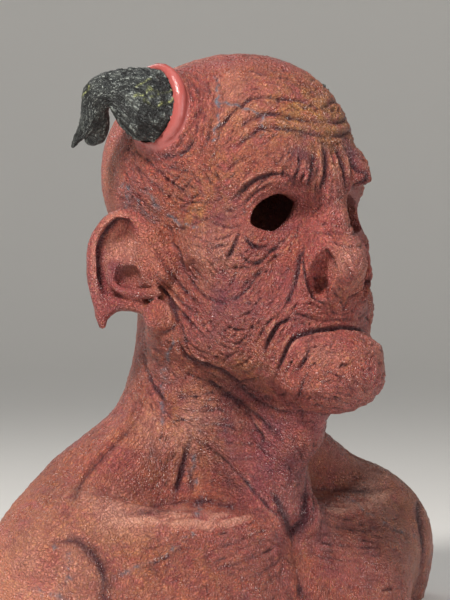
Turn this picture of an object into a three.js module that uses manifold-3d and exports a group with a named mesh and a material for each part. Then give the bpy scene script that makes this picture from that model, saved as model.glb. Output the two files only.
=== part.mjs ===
// Devil mask: a hollow silicone head, neck and shoulders, with two cast horns in its brow.
// Millimetres, +Z up. It stands on its flat lower rim and faces -Y, so its right side is -X.
//
// Each piece is sculpted as a signed distance field, a blend of soft forms, and the field's
// zero surface is meshed and then thinned to the triangles that the carving needs.
import * as THREE from 'three';
import { mergeVertices } from 'three/addons/utils/BufferGeometryUtils.js';
import Module from 'manifold-3d';

// Driving sizes.
const SKIN_WALL = 6; // silicone between the folds' tops and the room inside
const RIM_Z = 0; // height of the flat lower rim
const RIM_SPARE = 5; // what is meshed below the rim and then cut off flat
const CENTRE_Y = 14.5; // moves the sculpt so that its middle stands over the origin
const SCULPT_CELL = 3.2; // cell of the grid that the skin is meshed on
const HORN_CELL = 2.6;
const SKIN_TRIANGLES = 7200;
const HORN_TRIANGLES = 560;
const SOCKET_GAP = 0.4; // room between a horn and the collar that holds it

// Head.
const EYE_AT = [36.5, -80, 299.5];
const EYE_HALF_WIDTH = 21.5;
const EYE_RISE = 13.5;
const EYE_FALL = 11.8;
const EYE_YAW = 14;
const EYE_ROLL = 21;

// Ear: its own axes run back along the head, out of it, and up.
const EAR_AT = new THREE.Vector3(74, -2, 0);
const EAR_BACK = new THREE.Vector3(0.64, 0.77, 0);
const EAR_OUT = new THREE.Vector3(0.77, -0.64, 0);
const EAR_YAW = 50;

// Collar of flesh and the horn in it.
const COLLAR_AT = new THREE.Vector3(74, -1, 376.5);
const COLLAR_RADIUS = 27;
const COLLAR_LIP = 5;
const HORN_DIR = new THREE.Vector3(0.95, 0.08, 0.06).normalize();
const HORN_ROOT = 8; // depth of the socket
const SOCKET_RADIUS = 27;

const BLOCK_CELLS = 8; // the grid is worked through in blocks of this many cells a side
const REACH = 34; // a form further off than this leaves a place alone

// Soft forms.

const softMin = (a, b, blend) => {
  const near = Math.max(blend - Math.abs(a - b), 0) / blend;
  return Math.min(a, b) - (near * near * blend) / 4;
};
const softMax = (a, b, blend) => -softMin(-a, -b, blend);
const along = (point, direction, distance) => point.clone().addScaledVector(direction, distance);
const list = (vector) => [vector.x, vector.y, vector.z];
const cut = (form) => ({ ...form, isCut: true });

// World offsets as seen from a form turned by pitch (about X), yaw (about Z) and roll (about Y).
function turnedFrame({ pitch = 0, yaw = 0, roll = 0 }) {
  const euler = new THREE.Euler(...[pitch, roll, yaw].map(THREE.MathUtils.degToRad), 'ZXY');
  const m = new THREE.Matrix4().makeRotationFromEuler(euler).elements;
  return (x, y, z) => [
    m[0] * x + m[1] * y + m[2] * z,
    m[4] * x + m[5] * y + m[6] * z,
    m[8] * x + m[9] * y + m[10] * z,
  ];
}

// An ellipsoid.
function blob([cx, cy, cz], [rx, ry, rz], blend, turn = {}) {
  const local = turnedFrame(turn);
  return {
    centre: [cx, cy, cz],
    reach: Math.max(rx, ry, rz) * 1.3,
    blend,
    distance(x, y, z) {
      const [u, v, w] = local(x - cx, y - cy, z - cz);
      const inner = Math.hypot(u / rx, v / ry, w / rz) + 1e-9;
      const slope = Math.hypot(u / rx / rx, v / ry / ry, w / rz / rz) + 1e-9;
      return (inner * (inner - 1)) / slope;
    },
  };
}

// A string of round cones through the given points, each as [x, y, z, radius].
function rope(knots, blend) {
  const xs = knots.map((k) => k[0]);
  const ys = knots.map((k) => k[1]);
  const zs = knots.map((k) => k[2]);
  const middle = (values) => (Math.min(...values) + Math.max(...values)) / 2;
  const centre = [middle(xs), middle(ys), middle(zs)];
  const offset = (k) => Math.hypot(k[0] - centre[0], k[1] - centre[1], k[2] - centre[2]) + k[3];
  return {
    centre,
    reach: Math.max(...knots.map(offset)),
    blend,
    distance(x, y, z) {
      let best = Infinity;
      for (let i = 0; i + 1 < knots.length; i++) {
        const [ax, ay, az, ar] = knots[i];
        const [bx, by, bz, br] = knots[i + 1];
        const [dx, dy, dz] = [bx - ax, by - ay, bz - az];
        const [px, py, pz] = [x - ax, y - ay, z - az];
        const share = (px * dx + py * dy + pz * dz) / (dx * dx + dy * dy + dz * dz);
        const h = Math.min(Math.max(share, 0), 1);
        const off = Math.hypot(px - h * dx, py - h * dy, pz - h * dz);
        best = Math.min(best, off - (ar + (br - ar) * h));
      }
      return best;
    },
  };
}

const limb = (a, b, radiusA, radiusB, blend) => rope([[...a, radiusA], [...b, radiusB]], blend);

// A rope along a smooth curve through the points.
function cord(points, radii, blend, steps = 3) {
  const smooth = (vectors) => new THREE.CatmullRomCurve3(vectors, false, 'catmullrom', 0.5);
  const path = smooth(points.map((p) => new THREE.Vector3(...p)));
  const girth = smooth(radii.map((r) => new THREE.Vector3(r, 0, 0)));
  const count = (points.length - 1) * steps;
  const knots = Array.from({ length: count + 1 }, (_, i) => [
    ...list(path.getPoint(i / count)),
    girth.getPoint(i / count).x,
  ]);
  return rope(knots, blend);
}

// An almond seen along Y: two arcs that meet at its corners.
function lens([cx, cy, cz], halfWidth, halfDepth, rise, fall, blend, turn) {
  const local = turnedFrame(turn);
  const upper = (halfWidth ** 2 + rise ** 2) / (2 * rise);
  const lower = (halfWidth ** 2 + fall ** 2) / (2 * fall);
  return {
    centre: [cx, cy, cz],
    reach: Math.max(halfWidth, halfDepth) * 1.3,
    blend,
    distance(x, y, z) {
      const [u, v, w] = local(x - cx, y - cy, z - cz);
      const above = Math.hypot(u, w - (rise - upper)) - upper;
      const below = Math.hypot(u, w + (fall - lower)) - lower;
      return softMax(softMax(above, below, 1.5), Math.abs(v) - halfDepth, 3);
    },
  };
}

// A round post along an axis.
function post(centre, axis, radius, halfLength, blend) {
  return {
    centre: list(centre),
    reach: Math.hypot(radius, halfLength),
    blend,
    distance(x, y, z) {
      const offset = new THREE.Vector3(x, y, z).sub(centre);
      const run = offset.dot(axis);
      const radial = Math.sqrt(Math.max(offset.lengthSq() - run * run, 0));
      return softMax(radial - radius, Math.abs(run) - halfLength, 2);
    },
  };
}

// The sculpt. Every form is mirrored in the plane x = 0.

const ear = (back, out, z) => list(
  along(along(EAR_AT, EAR_BACK, back), EAR_OUT, out).setZ(z),
);

// The edge of the eye hole, for the roll of the lids.
function eyeRim(grow) {
  const slope = Math.tan(THREE.MathUtils.degToRad(EYE_ROLL));
  return Array.from({ length: 13 }, (_, i) => {
    const angle = (i / 12) * 2 * Math.PI;
    const x = (EYE_HALF_WIDTH + grow) * Math.cos(angle);
    const rise = (Math.sin(angle) > 0 ? EYE_RISE : EYE_FALL) + grow;
    const lift = rise * Math.sin(angle) ** 2 * Math.sign(Math.sin(angle));
    const face = -88 + 0.0155 * Math.max(x + 18, 0) ** 2;
    return [EYE_AT[0] + x, face, EYE_AT[2] + lift - slope * x];
  });
}

function collarRing() {
  const side = new THREE.Vector3(0, 0, 1).cross(HORN_DIR).normalize();
  const up = new THREE.Vector3().crossVectors(HORN_DIR, side);
  return Array.from({ length: 25 }, (_, i) => {
    const angle = (i / 24) * 2 * Math.PI;
    const edge = along(COLLAR_AT, side, COLLAR_RADIUS * Math.cos(angle));
    return [...list(along(edge, up, COLLAR_RADIUS * Math.sin(angle))), COLLAR_LIP];
  });
}

const head = [
  blob([0, 5, 331], [77, 105, 86], 20), // skull
  blob([0, -28, 348], [66, 66, 61], 25), // forehead
  blob([0, -46, 282], [64, 60, 78], 25), // middle of the face
  limb([62, -6, 218], [26, -84, 200], 20, 24, 25), // jaw
  blob([46, -54, 232], [30, 42, 34], 20), // jowl
  blob([54, -48, 276], [27, 36, 20], 16), // cheekbone
  blob([0, -84, 236], [46, 32, 24], 12), // upper lip
  limb([0, -90, 322], [0, -104, 274], 12, 17, 14), // bridge of the nose
  blob([0, -106, 264], [27, 23, 22], 12), // tip of the nose
  blob([20, -100, 256], [17, 20, 26], 7), // wing of the nose
  cord(
    [
      [24, -109, 279], [31, -108, 271], [34, -108, 262], [33, -109, 253], [29, -111, 244],
      [22, -113, 237.5], [14, -115, 240],
    ],
    [2, 2.8, 3, 3, 3, 2.8, 2],
    3,
  ), // raised edge of the nostril
  limb([48, -72, 325], [14, -92, 333], 14, 12, 12), // brow
  blob([52, -58, 322], [16, 14, 10], 10), // corner of the brow
  cord([[48, -53, 322], [44, -74, 332], [36, -92, 336], [30, -106, 327]], [8, 10, 10, 7], 9),
  blob([0, -56, 218], [50, 50, 46], 20), // bulk behind the mouth
  blob([0, -103, 184], [43, 36, 27], 6), // chin
  blob([0, -103, 201], [43, 32, 16], 10), // lower lip
  cord([[44, -60, 282], [40, -74, 277], [31, -87, 281]], [4.5, 6, 5], 7), // bag under the eye
  cord([[22, -94, 267], [26, -87, 243], [31, -77, 218], [31, -71, 200]], [7, 10, 11, 9], 12),
  cord(eyeRim(1.5), Array(13).fill(3.6), 7, 2), // lids
];

const neckAndShoulders = [
  limb([0, 16, 100], [0, 4, 240], 58, 56, 26), // neck
  limb([0, -58, 170], [0, -42, 92], 24, 24, 20), // throat
  blob([0, -64, 150], [20, 30, 26], 14, { pitch: 35 }), // dewlap
  limb([58, 6, 205], [16, -60, 78], 10, 9, 14), // neck muscle
  blob([0, 12, 0], [142, 88, 108], 30), // trunk
  limb([30, 28, 154], [146, 18, 76], 34, 32, 30), // shoulder slope
  blob([162, 8, 42], [50, 54, 60], 24), // shoulder
  limb([160, 8, 40], [164, 8, -40], 44, 42, 20), // top of the arm
  limb([24, -60, 74], [150, -16, 90], 7, 10, 18), // collar bone
  blob([70, -46, 8], [64, 46, 60], 30), // chest
  blob([104, -30, 38], [56, 36, 42], 24), // breast muscle
  blob([88, 42, 58], [74, 42, 70], 30), // shoulder blade
  limb([0, 30, 110], [0, 30, 258], 46, 42, 24), // nape
];

const ears = [
  blob(ear(24, -7, 265), [25, 7, 35], 6, { yaw: EAR_YAW }), // plate
  limb([70, 6, 260], ear(22, -6, 258), 18, 8, 12), // root
  cord(
    [
      ear(8, 3, 286), ear(16, 5, 296), ear(25, 6, 298.5), ear(34, 6, 294.5), ear(41.5, 5.5, 286),
      ear(45.5, 5, 276), ear(46.3, 4.5, 266), ear(46, 4, 254), ear(43.8, 3.5, 242),
      ear(41, 3, 231), ear(39.5, 2.5, 220),
    ],
    [6, 5.6, 5, 4.6, 4.3, 4.3, 4.3, 4.3, 4.2, 4, 2.8],
    4,
  ), // outer rim, down to its point
  cord(
    [
      ear(16, -2, 291), ear(26, -2, 295), ear(35, -2, 290), ear(41, -2, 281), ear(43, -2, 268),
      ear(42.5, -2.5, 255), ear(40, -2.5, 242), ear(37.5, -1.5, 232),
    ],
    Array(8).fill(4.5),
    4,
  ), // web behind the rim
  cord([ear(14, 4, 291), ear(11, 4, 280), ear(10, 4, 266), ear(7, 3, 254)], [5.5, 5.5, 5.5, 4.5], 5),
  cord(
    [
      ear(19, 0, 277), ear(28, 2.5, 268), ear(32, 4.5, 260), ear(31, 5.5, 251),
      ear(24, 6, 245.5), ear(12, 7, 242.5), ear(0, 8, 243.5),
    ],
    [2.8, 3.5, 4, 4, 4, 4, 3.8],
    2,
  ), // inner ridge
  cord(
    [ear(39.5, 1.5, 227), ear(33, 0, 233.5), ear(25, 0, 235.5), ear(13, 1, 234), ear(4, 0, 229)],
    [4.2, 5.5, 5.5, 5.5, 6],
    4,
  ), // lower web
  blob(ear(-2, 9, 226), [12, 10, 12.5], 3), // lobe
  limb(ear(4, 1, 284), ear(-3, 3, 258), 7, 7, 8), // front flap
  cut(blob(ear(20.5, 5, 254.5), [9.5, 10.5, 8.5], 3, { yaw: EAR_YAW })), // ear hole
  cut(blob(ear(28, 9, 279), [13.5, 11.5, 15], 4, { yaw: EAR_YAW })), // upper bowl
];

const collars = [
  limb(list(along(COLLAR_AT, HORN_DIR, -30)), list(along(COLLAR_AT, HORN_DIR, -4)), 31, 27, 12),
  rope(collarRing(), 5),
];

const hollows = [
  cut(blob([36, -98, 301], [22, 19, 14], 10)), // eye socket
  cut(blob([24, -117, 257], [8.5, 11, 18], 3, { yaw: 45, roll: -18 })), // nostril
  cut(blob([20, -113, 249], [4.5, 13, 6], 3, { yaw: 38, roll: -18 })), // depth of the nostril
  cut(blob([84, -36, 114], [30, 14, 10], 22)), // hollow over the collar bone
];

const outerForms = [...head, ...neckAndShoulders, ...ears, ...collars, ...hollows];

// The room inside: a wearer's head, neck and shoulders.
const coreForms = [
  blob([0, 7, 328], [71, 97, 79], 20),
  blob([0, -38, 284], [57, 56, 68], 20),
  blob([0, -52, 216], [51, 48, 41], 20),
  limb([0, 18, 60], [0, 6, 240], 51, 50, 20),
  limb([0, 28, 90], [0, 30, 256], 40, 36, 20),
  blob([0, 12, -6], [136, 82, 107], 25),
  limb([30, 28, 150], [146, 18, 72], 29, 28, 25),
  blob([161, 9, 39], [42, 45, 51], 20),
  limb([160, 8, 40], [164, 8, -60], 37, 36, 20),
  blob([72, -43, 4], [60, 47, 58], 20),
  blob([104, -28, 36], [52, 32, 38], 20),
  blob([88, 41, 55], [69, 38, 66], 20),
];
const socketForms = [post(COLLAR_AT, HORN_DIR, SOCKET_RADIUS, HORN_ROOT, 2)];
const eyeForms = [
  lens(EYE_AT, EYE_HALF_WIDTH, 34, EYE_RISE, EYE_FALL, 2, { yaw: EYE_YAW, roll: EYE_ROLL }),
];

// Folds of the skin. Each is drawn as it is seen from the mask's right front, level with it,
// as points of [across, height], then its depth and its width. Both halves get it.
const FOLD_SWELL = 0.35; // how far the skin swells beside a fold, as a share of its depth
const FOLD_SPAN = 4; // half the breadth that a fold works on, in widths
const folds = [
  [[[-6, 358], [3, 372], [13, 380], [23, 383], [49, 381], [63, 375]], 2.4, 3.4], // forehead, top
  [[[-1, 353], [8, 361], [20, 369], [32, 370], [62, 364], [75, 367]], 2.6, 3.4], // forehead, middle
  [[[0, 343], [13, 353], [26, 361], [39, 360], [68, 354], [78, 356]], 2.8, 3.4], // forehead, low
  [[[61, 346], [61, 337], [59, 325], [54, 314]], 3.2, 3], // frown, outer
  [[[69, 352], [70, 338], [69, 324], [62, 312]], 3.4, 3], // frown, inner
  [[[5, 308], [12, 317], [20, 323], [31, 327], [42, 325]], 4, 3.2], // over the upper lid
  [[[9, 289], [6, 279], [3, 273], [-2, 262]], 2.4, 3], // outer corner of the eye
  [[[10, 285], [16, 278], [23, 274], [33, 274], [42, 279]], 2.8, 3], // under the lower lid
  [[[26, 261], [18, 256], [11, 249], [4, 239]], 2.2, 3], // cheek
  [[[57, 283], [49, 269], [46, 248], [42, 237], [35, 226]], 3.8, 3.2], // beside the nose
  [[[31, 181], [36, 193], [41, 207], [47, 214], [63, 218], [81, 219], [97, 222]], 6, 3], // mouth
  [[[25, 204], [31, 215], [36, 222], [42, 226], [49, 226]], 3.2, 3.2], // corner of the mouth
  [[[56, 210], [55, 201], [52, 195], [41, 183]], 2.6, 3], // side of the lower lip
  [[[-59, 285], [-51, 271], [-42, 257], [-33, 246], [-14, 230]], 2.8, 3.2], // temple to jaw
  [[[-55, 257], [-47, 246], [-40, 236], [-37, 226], [-31, 202]], 2.8, 3.2], // before the ear
  [[[-37, 213], [-33, 200], [-25, 193], [-6, 189], [3, 182], [14, 172]], 3.8, 3.6], // jaw
  [[[-18, 179], [-7, 174], [6, 165], [18, 157], [31, 145], [42, 134]], 3.6, 3.6], // under the jaw
  [[[31, 110], [38, 92], [44, 78], [49, 60], [52, 40], [53, 5]], 3.2, 3.6], // breast bone
  [[[-62, 190], [-55, 175], [-45, 165]], 2.4, 3.2], // side of the neck
  [[[-29, 138], [-33, 117], [-37, 96]], 2, 3.6], // neck cord
  [[[-107, 77], [-90, 64], [-82, 50], [-85, 5]], 1.4, 7], // front of the shoulder
];

const foldSpans = folds.map(([line, , width]) => {
  const spare = FOLD_SPAN * width;
  const span = (values) => [Math.min(...values) - spare, Math.max(...values) + spare];
  return [...span(line.map((p) => p[0])), ...span(line.map((p) => p[1]))];
});

function foldDepth(x, y, z) {
  const toward = Math.SQRT1_2 * (x - y);
  if (toward <= 0) return 0;
  const across = -Math.SQRT1_2 * (x + y);
  const facing = THREE.MathUtils.smoothstep(toward, 0, 25);
  let sum = 0;
  for (let n = 0; n < folds.length; n++) {
    const [left, right, low, high] = foldSpans[n];
    if (across < left || across > right || z < low || z > high) continue;
    const [line, depth, width] = folds[n];
    let best = Infinity;
    let place = 0;
    for (let i = 0; i + 1 < line.length; i++) {
      const [du, dz] = [line[i + 1][0] - line[i][0], line[i + 1][1] - line[i][1]];
      const [pu, pz] = [across - line[i][0], z - line[i][1]];
      const h = THREE.MathUtils.clamp((pu * du + pz * dz) / (du * du + dz * dz), 0, 1);
      const off = Math.hypot(pu - h * du, pz - h * dz);
      if (off < best) [best, place] = [off, (i + h) / (line.length - 1)];
    }
    const q = best / width;
    if (q > FOLD_SPAN) continue;
    const taper = Math.min(1, Math.min(place, 1 - place) * 5 + 0.25);
    const swell = FOLD_SWELL * Math.exp(-(((q - 1.9) / 0.9) ** 2));
    sum += depth * taper * (Math.exp(-q * q) - swell);
  }
  return sum * facing;
}

// The horn: out of the collar, up and back, then down to a point.
const hornRoot = along(COLLAR_AT, HORN_DIR, -HORN_ROOT);
const hornLine = [
  list(hornRoot), [78, 0, 377], [84, 1, 380.5], [90, 4, 384.5], [98, 10, 388.5], [104.5, 18.5, 388],
  [106, 26, 385.5], [104, 32.5, 375], [104.5, 38, 364], [108, 44, 355.5], [110, 48.5, 349],
];
const hornRadii = [25.5, 26, 23.5, 20, 15, 12.5, 11, 9.3, 7, 4, 1.6];
const hornForms = [
  cord(hornLine, hornRadii, 6),
  cord([[100, 30, 382], [97, 37, 371], [93, 42, 361], [94, 45, 355]], [7, 9, 9, 6], 4), // lobe behind the tip
];

// Fields. Each takes a place and the forms that reach it.

function sculpted(forms, x, y, z) {
  let d = REACH;
  for (const form of forms) {
    const v = form.distance(x, y, z);
    d = form.isCut ? softMax(d, -v, form.blend) : softMin(d, v, form.blend);
  }
  return d;
}

const skin = {
  groups: { outer: outerForms, core: coreForms, socket: socketForms, eye: eyeForms },
  field(near, worldX, y, z) {
    const x = Math.abs(worldX);
    const smooth = sculpted(near.outer, x, y, z);
    const outer = smooth + foldDepth(x, y, z);
    const roots = SKIN_WALL - sculpted(near.socket, x, y, z);
    const room = Math.max(sculpted(near.core, x, y, z), smooth + SKIN_WALL, roots);
    const shell = softMax(softMax(outer, -room, 1), -sculpted(near.eye, x, y, z), 1);
    return Math.max(shell, RIM_Z - RIM_SPARE - z);
  },
};

const horn = {
  groups: { horn: hornForms },
  field(near, x, y, z) {
    const behind = new THREE.Vector3(x, y, z).sub(hornRoot).dot(HORN_DIR);
    return Math.max(sculpted(near.horn, x, y, z), -behind);
  },
};

// Meshing.

// The forms of each group that reach a box.
function formsNear(groups, middle, halfDiagonal) {
  const [x, y, z] = [Math.abs(middle[0]), middle[1], middle[2]];
  const reaches = ({ centre: [cx, cy, cz], reach }) => (
    Math.hypot(x - cx, y - cy, z - cz) - reach - halfDiagonal < REACH
  );
  return Object.fromEntries(
    Object.entries(groups).map(([name, forms]) => [name, forms.filter(reaches)]),
  );
}

// Surface nets: one vertex in each cell that the surface crosses, joined round each crossed edge.
function surfaceNet({ groups, field }, low, high, cell) {
  const size = low.map((l, i) => Math.ceil((high[i] - l) / cell / BLOCK_CELLS) * BLOCK_CELLS + 1);
  const stride = [1, size[0], size[0] * size[1]];
  const place = (i, j, k) => i + j * stride[1] + k * stride[2];
  const values = new Float32Array(size[0] * size[1] * size[2]).fill(REACH);
  const blockSide = BLOCK_CELLS * cell;
  const halfDiagonal = (blockSide * Math.sqrt(3)) / 2;
  const busy = [];
  for (let k = 0; k + 1 < size[2]; k += BLOCK_CELLS) {
    for (let j = 0; j + 1 < size[1]; j += BLOCK_CELLS) {
      for (let i = 0; i + 1 < size[0]; i += BLOCK_CELLS) {
        const corner = [low[0] + i * cell, low[1] + j * cell, low[2] + k * cell];
        const middle = corner.map((c) => c + blockSide / 2);
        const near = formsNear(groups, middle, halfDiagonal);
        const guess = field(near, ...middle);
        if (Math.abs(guess) > halfDiagonal * 1.6) {
          if (guess > 0) continue;
          for (let c = 1; c < BLOCK_CELLS; c++)
            for (let b = 1; b < BLOCK_CELLS; b++)
              for (let a = 1; a < BLOCK_CELLS; a++) values[place(i + a, j + b, k + c)] = guess;
          continue;
        }
        busy.push([i, j, k]);
        for (let c = 0; c <= BLOCK_CELLS; c++)
          for (let b = 0; b <= BLOCK_CELLS; b++)
            for (let a = 0; a <= BLOCK_CELLS; a++) {
              const [x, y, z] = [corner[0] + a * cell, corner[1] + b * cell, corner[2] + c * cell];
              values[place(i + a, j + b, k + c)] = field(near, x, y, z);
            }
      }
    }
  }

  // A face of the grid whose corners lie in, out, in, out would join four sheets along one edge,
  // so its weaker outside corner is taken in.
  for (let changed = true; changed;) {
    changed = false;
    for (const [bi, bj, bk] of busy) {
      for (let n = 0; n < BLOCK_CELLS ** 3; n++) {
        const i = bi + (n % BLOCK_CELLS);
        const j = bj + (Math.floor(n / BLOCK_CELLS) % BLOCK_CELLS);
        const first = place(i, j, bk + Math.floor(n / BLOCK_CELLS ** 2));
        for (let axis = 0; axis < 3; axis++) {
          const [du, dv] = [stride[axis], stride[(axis + 1) % 3]];
          const round = [first, first + du, first + du + dv, first + dv];
          const [a, b, c, d] = round.map((v) => values[v] < 0);
          if (a !== c || b !== d || a === b) continue;
          const outside = a ? [round[1], round[3]] : [round[0], round[2]];
          const weaker = values[outside[0]] < values[outside[1]] ? outside[0] : outside[1];
          values[weaker] = -0.05 * cell;
          changed = true;
        }
      }
    }
  }

  const corners = [0, 1, 2, 3, 4, 5, 6, 7].map((n) => [n & 1, (n >> 1) & 1, n >> 2]);
  const edges = [];
  for (let a = 0; a < 8; a++)
    for (const bit of [1, 2, 4]) if (!(a & bit)) edges.push([a, a | bit]);
  const points = [];
  const vertexOf = new Map();
  for (const [bi, bj, bk] of busy) {
    for (let n = 0; n < BLOCK_CELLS ** 3; n++) {
      const i = bi + (n % BLOCK_CELLS);
      const j = bj + (Math.floor(n / BLOCK_CELLS) % BLOCK_CELLS);
      const k = bk + Math.floor(n / BLOCK_CELLS ** 2);
      const v = corners.map(([a, b, c]) => values[place(i + a, j + b, k + c)]);
      const inside = v.filter((d) => d < 0).length;
      if (inside === 0 || inside === 8) continue;
      const sum = [0, 0, 0];
      let count = 0;
      for (const [p, q] of edges) {
        if (v[p] < 0 === v[q] < 0) continue;
        const t = v[p] / (v[p] - v[q]);
        for (let axis = 0; axis < 3; axis++)
          sum[axis] += corners[p][axis] + t * (corners[q][axis] - corners[p][axis]);
        count++;
      }
      vertexOf.set(place(i, j, k), points.length);
      points.push([i, j, k].map((c, axis) => low[axis] + (c + sum[axis] / count) * cell));
    }
  }

  const triangles = [];
  const quad = (a, b, c, d) => {
    const across = (p, q) => Math.hypot(...points[p].map((value, axis) => value - points[q][axis]));
    if (across(a, c) <= across(b, d)) triangles.push([a, b, c], [a, c, d]);
    else triangles.push([a, b, d], [b, c, d]);
  };
  for (const start of vertexOf.keys()) {
    for (let axis = 0; axis < 3; axis++) {
      const [from, to] = [values[start] < 0, values[start + stride[axis]] < 0];
      if (from === to) continue;
      const [du, dv] = [stride[(axis + 1) % 3], stride[(axis + 2) % 3]];
      const round = [start, start - du, start - du - dv, start - dv].map((s) => vertexOf.get(s));
      if (round.includes(undefined)) continue;
      quad(...(from ? round : round.reverse()));
    }
  }
  return { points, triangles };
}

// Thins a closed mesh by collapsing its cheapest edges. The cost is the squared distance to the
// planes that a vertex stands for, times how keenly the carving is wanted there.
function thinned({ points, triangles }, target, keenness) {
  const quadrics = points.map(() => new Float64Array(10));
  const fans = points.map(() => new Set());
  const normalOf = ([a, b, c]) => {
    const [ux, uy, uz] = [b[0] - a[0], b[1] - a[1], b[2] - a[2]];
    const [vx, vy, vz] = [c[0] - a[0], c[1] - a[1], c[2] - a[2]];
    return [uy * vz - uz * vy, uz * vx - ux * vz, ux * vy - uy * vx];
  };
  const addPlane = (q, a, b, c, d, w) => {
    const terms = [a * a, a * b, a * c, a * d, b * b, b * c, b * d, c * c, c * d, d * d];
    terms.forEach((term, i) => { q[i] += w * term; });
  };
  triangles.forEach((t, index) => {
    const corners = t.map((v) => points[v]);
    const n = normalOf(corners);
    const area = Math.hypot(...n) / 2 || 1e-9;
    const [a, b, c] = n.map((value) => value / 2 / area);
    const p = corners[0];
    const weight = area * keenness(...p);
    for (const v of t) {
      fans[v].add(index);
      addPlane(quadrics[v], a, b, c, -(a * p[0] + b * p[1] + c * p[2]), weight);
      const rest = weight * 4e-4; // holds the vertex loosely, so that flat places stay even
      const own = points[v];
      for (let axis = 0; axis < 3; axis++) {
        const normal = [0, 1, 2].map((i) => (i === axis ? 1 : 0));
        addPlane(quadrics[v], ...normal, -own[axis], rest);
      }
    }
  });
  const costAt = (q, [x, y, z]) => (
    q[0] * x * x + 2 * q[1] * x * y + 2 * q[2] * x * z + 2 * q[3] * x + q[4] * y * y
    + 2 * q[5] * y * z + 2 * q[6] * y + q[7] * z * z + 2 * q[8] * z + q[9]
  );
  const bestPlace = (q, fallback) => {
    const m = new THREE.Matrix3().set(q[0], q[1], q[2], q[1], q[4], q[5], q[2], q[5], q[7]);
    if (Math.abs(m.determinant()) < 1e-9) return fallback;
    return list(new THREE.Vector3(-q[3], -q[6], -q[8]).applyMatrix3(m.invert()));
  };
  const stamps = new Uint32Array(points.length);
  const heap = [];
  const swap = (i, j) => { [heap[i], heap[j]] = [heap[j], heap[i]]; };
  const push = (entry) => {
    let i = heap.push(entry) - 1;
    while (i > 0 && heap[(i - 1) >> 1].cost > heap[i].cost) {
      swap(i, (i - 1) >> 1);
      i = (i - 1) >> 1;
    }
  };
  const pop = () => {
    const top = heap[0];
    const last = heap.pop();
    if (!heap.length) return top;
    heap[0] = last;
    for (let i = 0; ;) {
      let least = i;
      for (const child of [2 * i + 1, 2 * i + 2])
        if (child < heap.length && heap[child].cost < heap[least].cost) least = child;
      if (least === i) return top;
      swap(i, least);
      i = least;
    }
  };
  const offer = (a, b) => {
    const q = quadrics[a].map((value, i) => value + quadrics[b][i]);
    const half = points[a].map((value, i) => (value + points[b][i]) / 2);
    const spot = bestPlace(q, half);
    push({ a, b, spot, cost: costAt(q, spot), stamp: stamps[a] + stamps[b] });
  };
  const around = (v) => {
    const ring = new Set();
    for (const t of fans[v]) for (const other of triangles[t]) if (other !== v) ring.add(other);
    return ring;
  };
  points.forEach((_, a) => { for (const b of around(a)) if (a < b) offer(a, b); });

  // True if moving v to the spot turns none of its triangles over or squashes it to a sliver.
  const keepsFaces = (v, other, spot) => {
    for (const t of fans[v]) {
      if (triangles[t].includes(other)) continue;
      const corners = triangles[t].map((i) => points[i]);
      const before = normalOf(corners);
      const moved = triangles[t].map((i) => (i === v ? spot : points[i]));
      const after = normalOf(moved);
      const dot = before[0] * after[0] + before[1] * after[1] + before[2] * after[2];
      if (dot < 0.35 * Math.hypot(...before) * Math.hypot(...after)) return false;
      const side = (p, q) => Math.hypot(p[0] - q[0], p[1] - q[1], p[2] - q[2]);
      const longest = Math.max(
        side(moved[0], moved[1]), side(moved[1], moved[2]), side(moved[2], moved[0]),
      );
      if (Math.hypot(...after) < 0.06 * longest * longest) return false;
    }
    return true;
  };

  let count = triangles.length;
  while (count > target && heap.length) {
    const { a, b, spot, stamp } = pop();
    if (!fans[a].size || !fans[b].size || stamp !== stamps[a] + stamps[b]) continue;
    const ringA = around(a);
    if (!ringA.has(b)) continue;
    const shared = [...around(b)].filter((v) => ringA.has(v)).length;
    if (shared !== 2 || !keepsFaces(a, b, spot) || !keepsFaces(b, a, spot)) continue;
    points[a] = spot;
    quadrics[a] = quadrics[a].map((value, i) => value + quadrics[b][i]);
    for (const t of fans[b]) {
      if (triangles[t].includes(a)) {
        for (const v of triangles[t]) if (v !== b) fans[v].delete(t);
        count--;
        continue;
      }
      triangles[t] = triangles[t].map((v) => (v === b ? a : v));
      fans[a].add(t);
    }
    fans[b] = new Set();
    stamps[a] += 1;
    stamps[b] += 1;
    for (const v of around(a)) offer(Math.min(a, v), Math.max(a, v));
  }
  const kept = new Set(fans.flatMap((fan) => [...fan]));
  return { points, triangles: [...kept].map((t) => triangles[t]) };
}

// Finer triangles on the face and the ears, coarser ones inside and low on the trunk.
function skinKeenness(x, y, z) {
  const room = sculpted(coreForms, Math.abs(x), y, z);
  if (room < 2.5) return 0.5;
  const face = THREE.MathUtils.smoothstep(z, 120, 190) * THREE.MathUtils.smoothstep(-y, -30, 40);
  const earZone = Math.abs(x) > 78 && z > 200 && z < 310 ? 2.5 : 0;
  return 1 + 5 * face + earZone;
}

function geometryOf({ points, triangles }) {
  const geometry = new THREE.BufferGeometry();
  const position = new Float32Array(triangles.flatMap((t) => t.flatMap((v) => points[v])));
  geometry.setAttribute('position', new THREE.BufferAttribute(position, 3));
  return mergeVertices(geometry, 1e-3);
}

// Joins and cuts.

const wasm = await Module();
wasm.setup();

function solidOf(geometry) {
  const bare = geometry.clone();
  bare.deleteAttribute('normal');
  bare.deleteAttribute('uv');
  const merged = mergeVertices(bare, 1e-3);
  const vertProperties = merged.attributes.position.array;
  const triVerts = new Uint32Array(merged.index.array);
  return new wasm.Manifold(new wasm.Mesh({ numProp: 3, vertProperties, triVerts }));
}

function geometryOfSolid(solid) {
  const mesh = solid.getMesh();
  const geometry = new THREE.BufferGeometry();
  geometry.setAttribute('position', new THREE.BufferAttribute(mesh.vertProperties.slice(), 3));
  geometry.setIndex(new THREE.BufferAttribute(mesh.triVerts.slice(), 1));
  return geometry;
}

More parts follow.
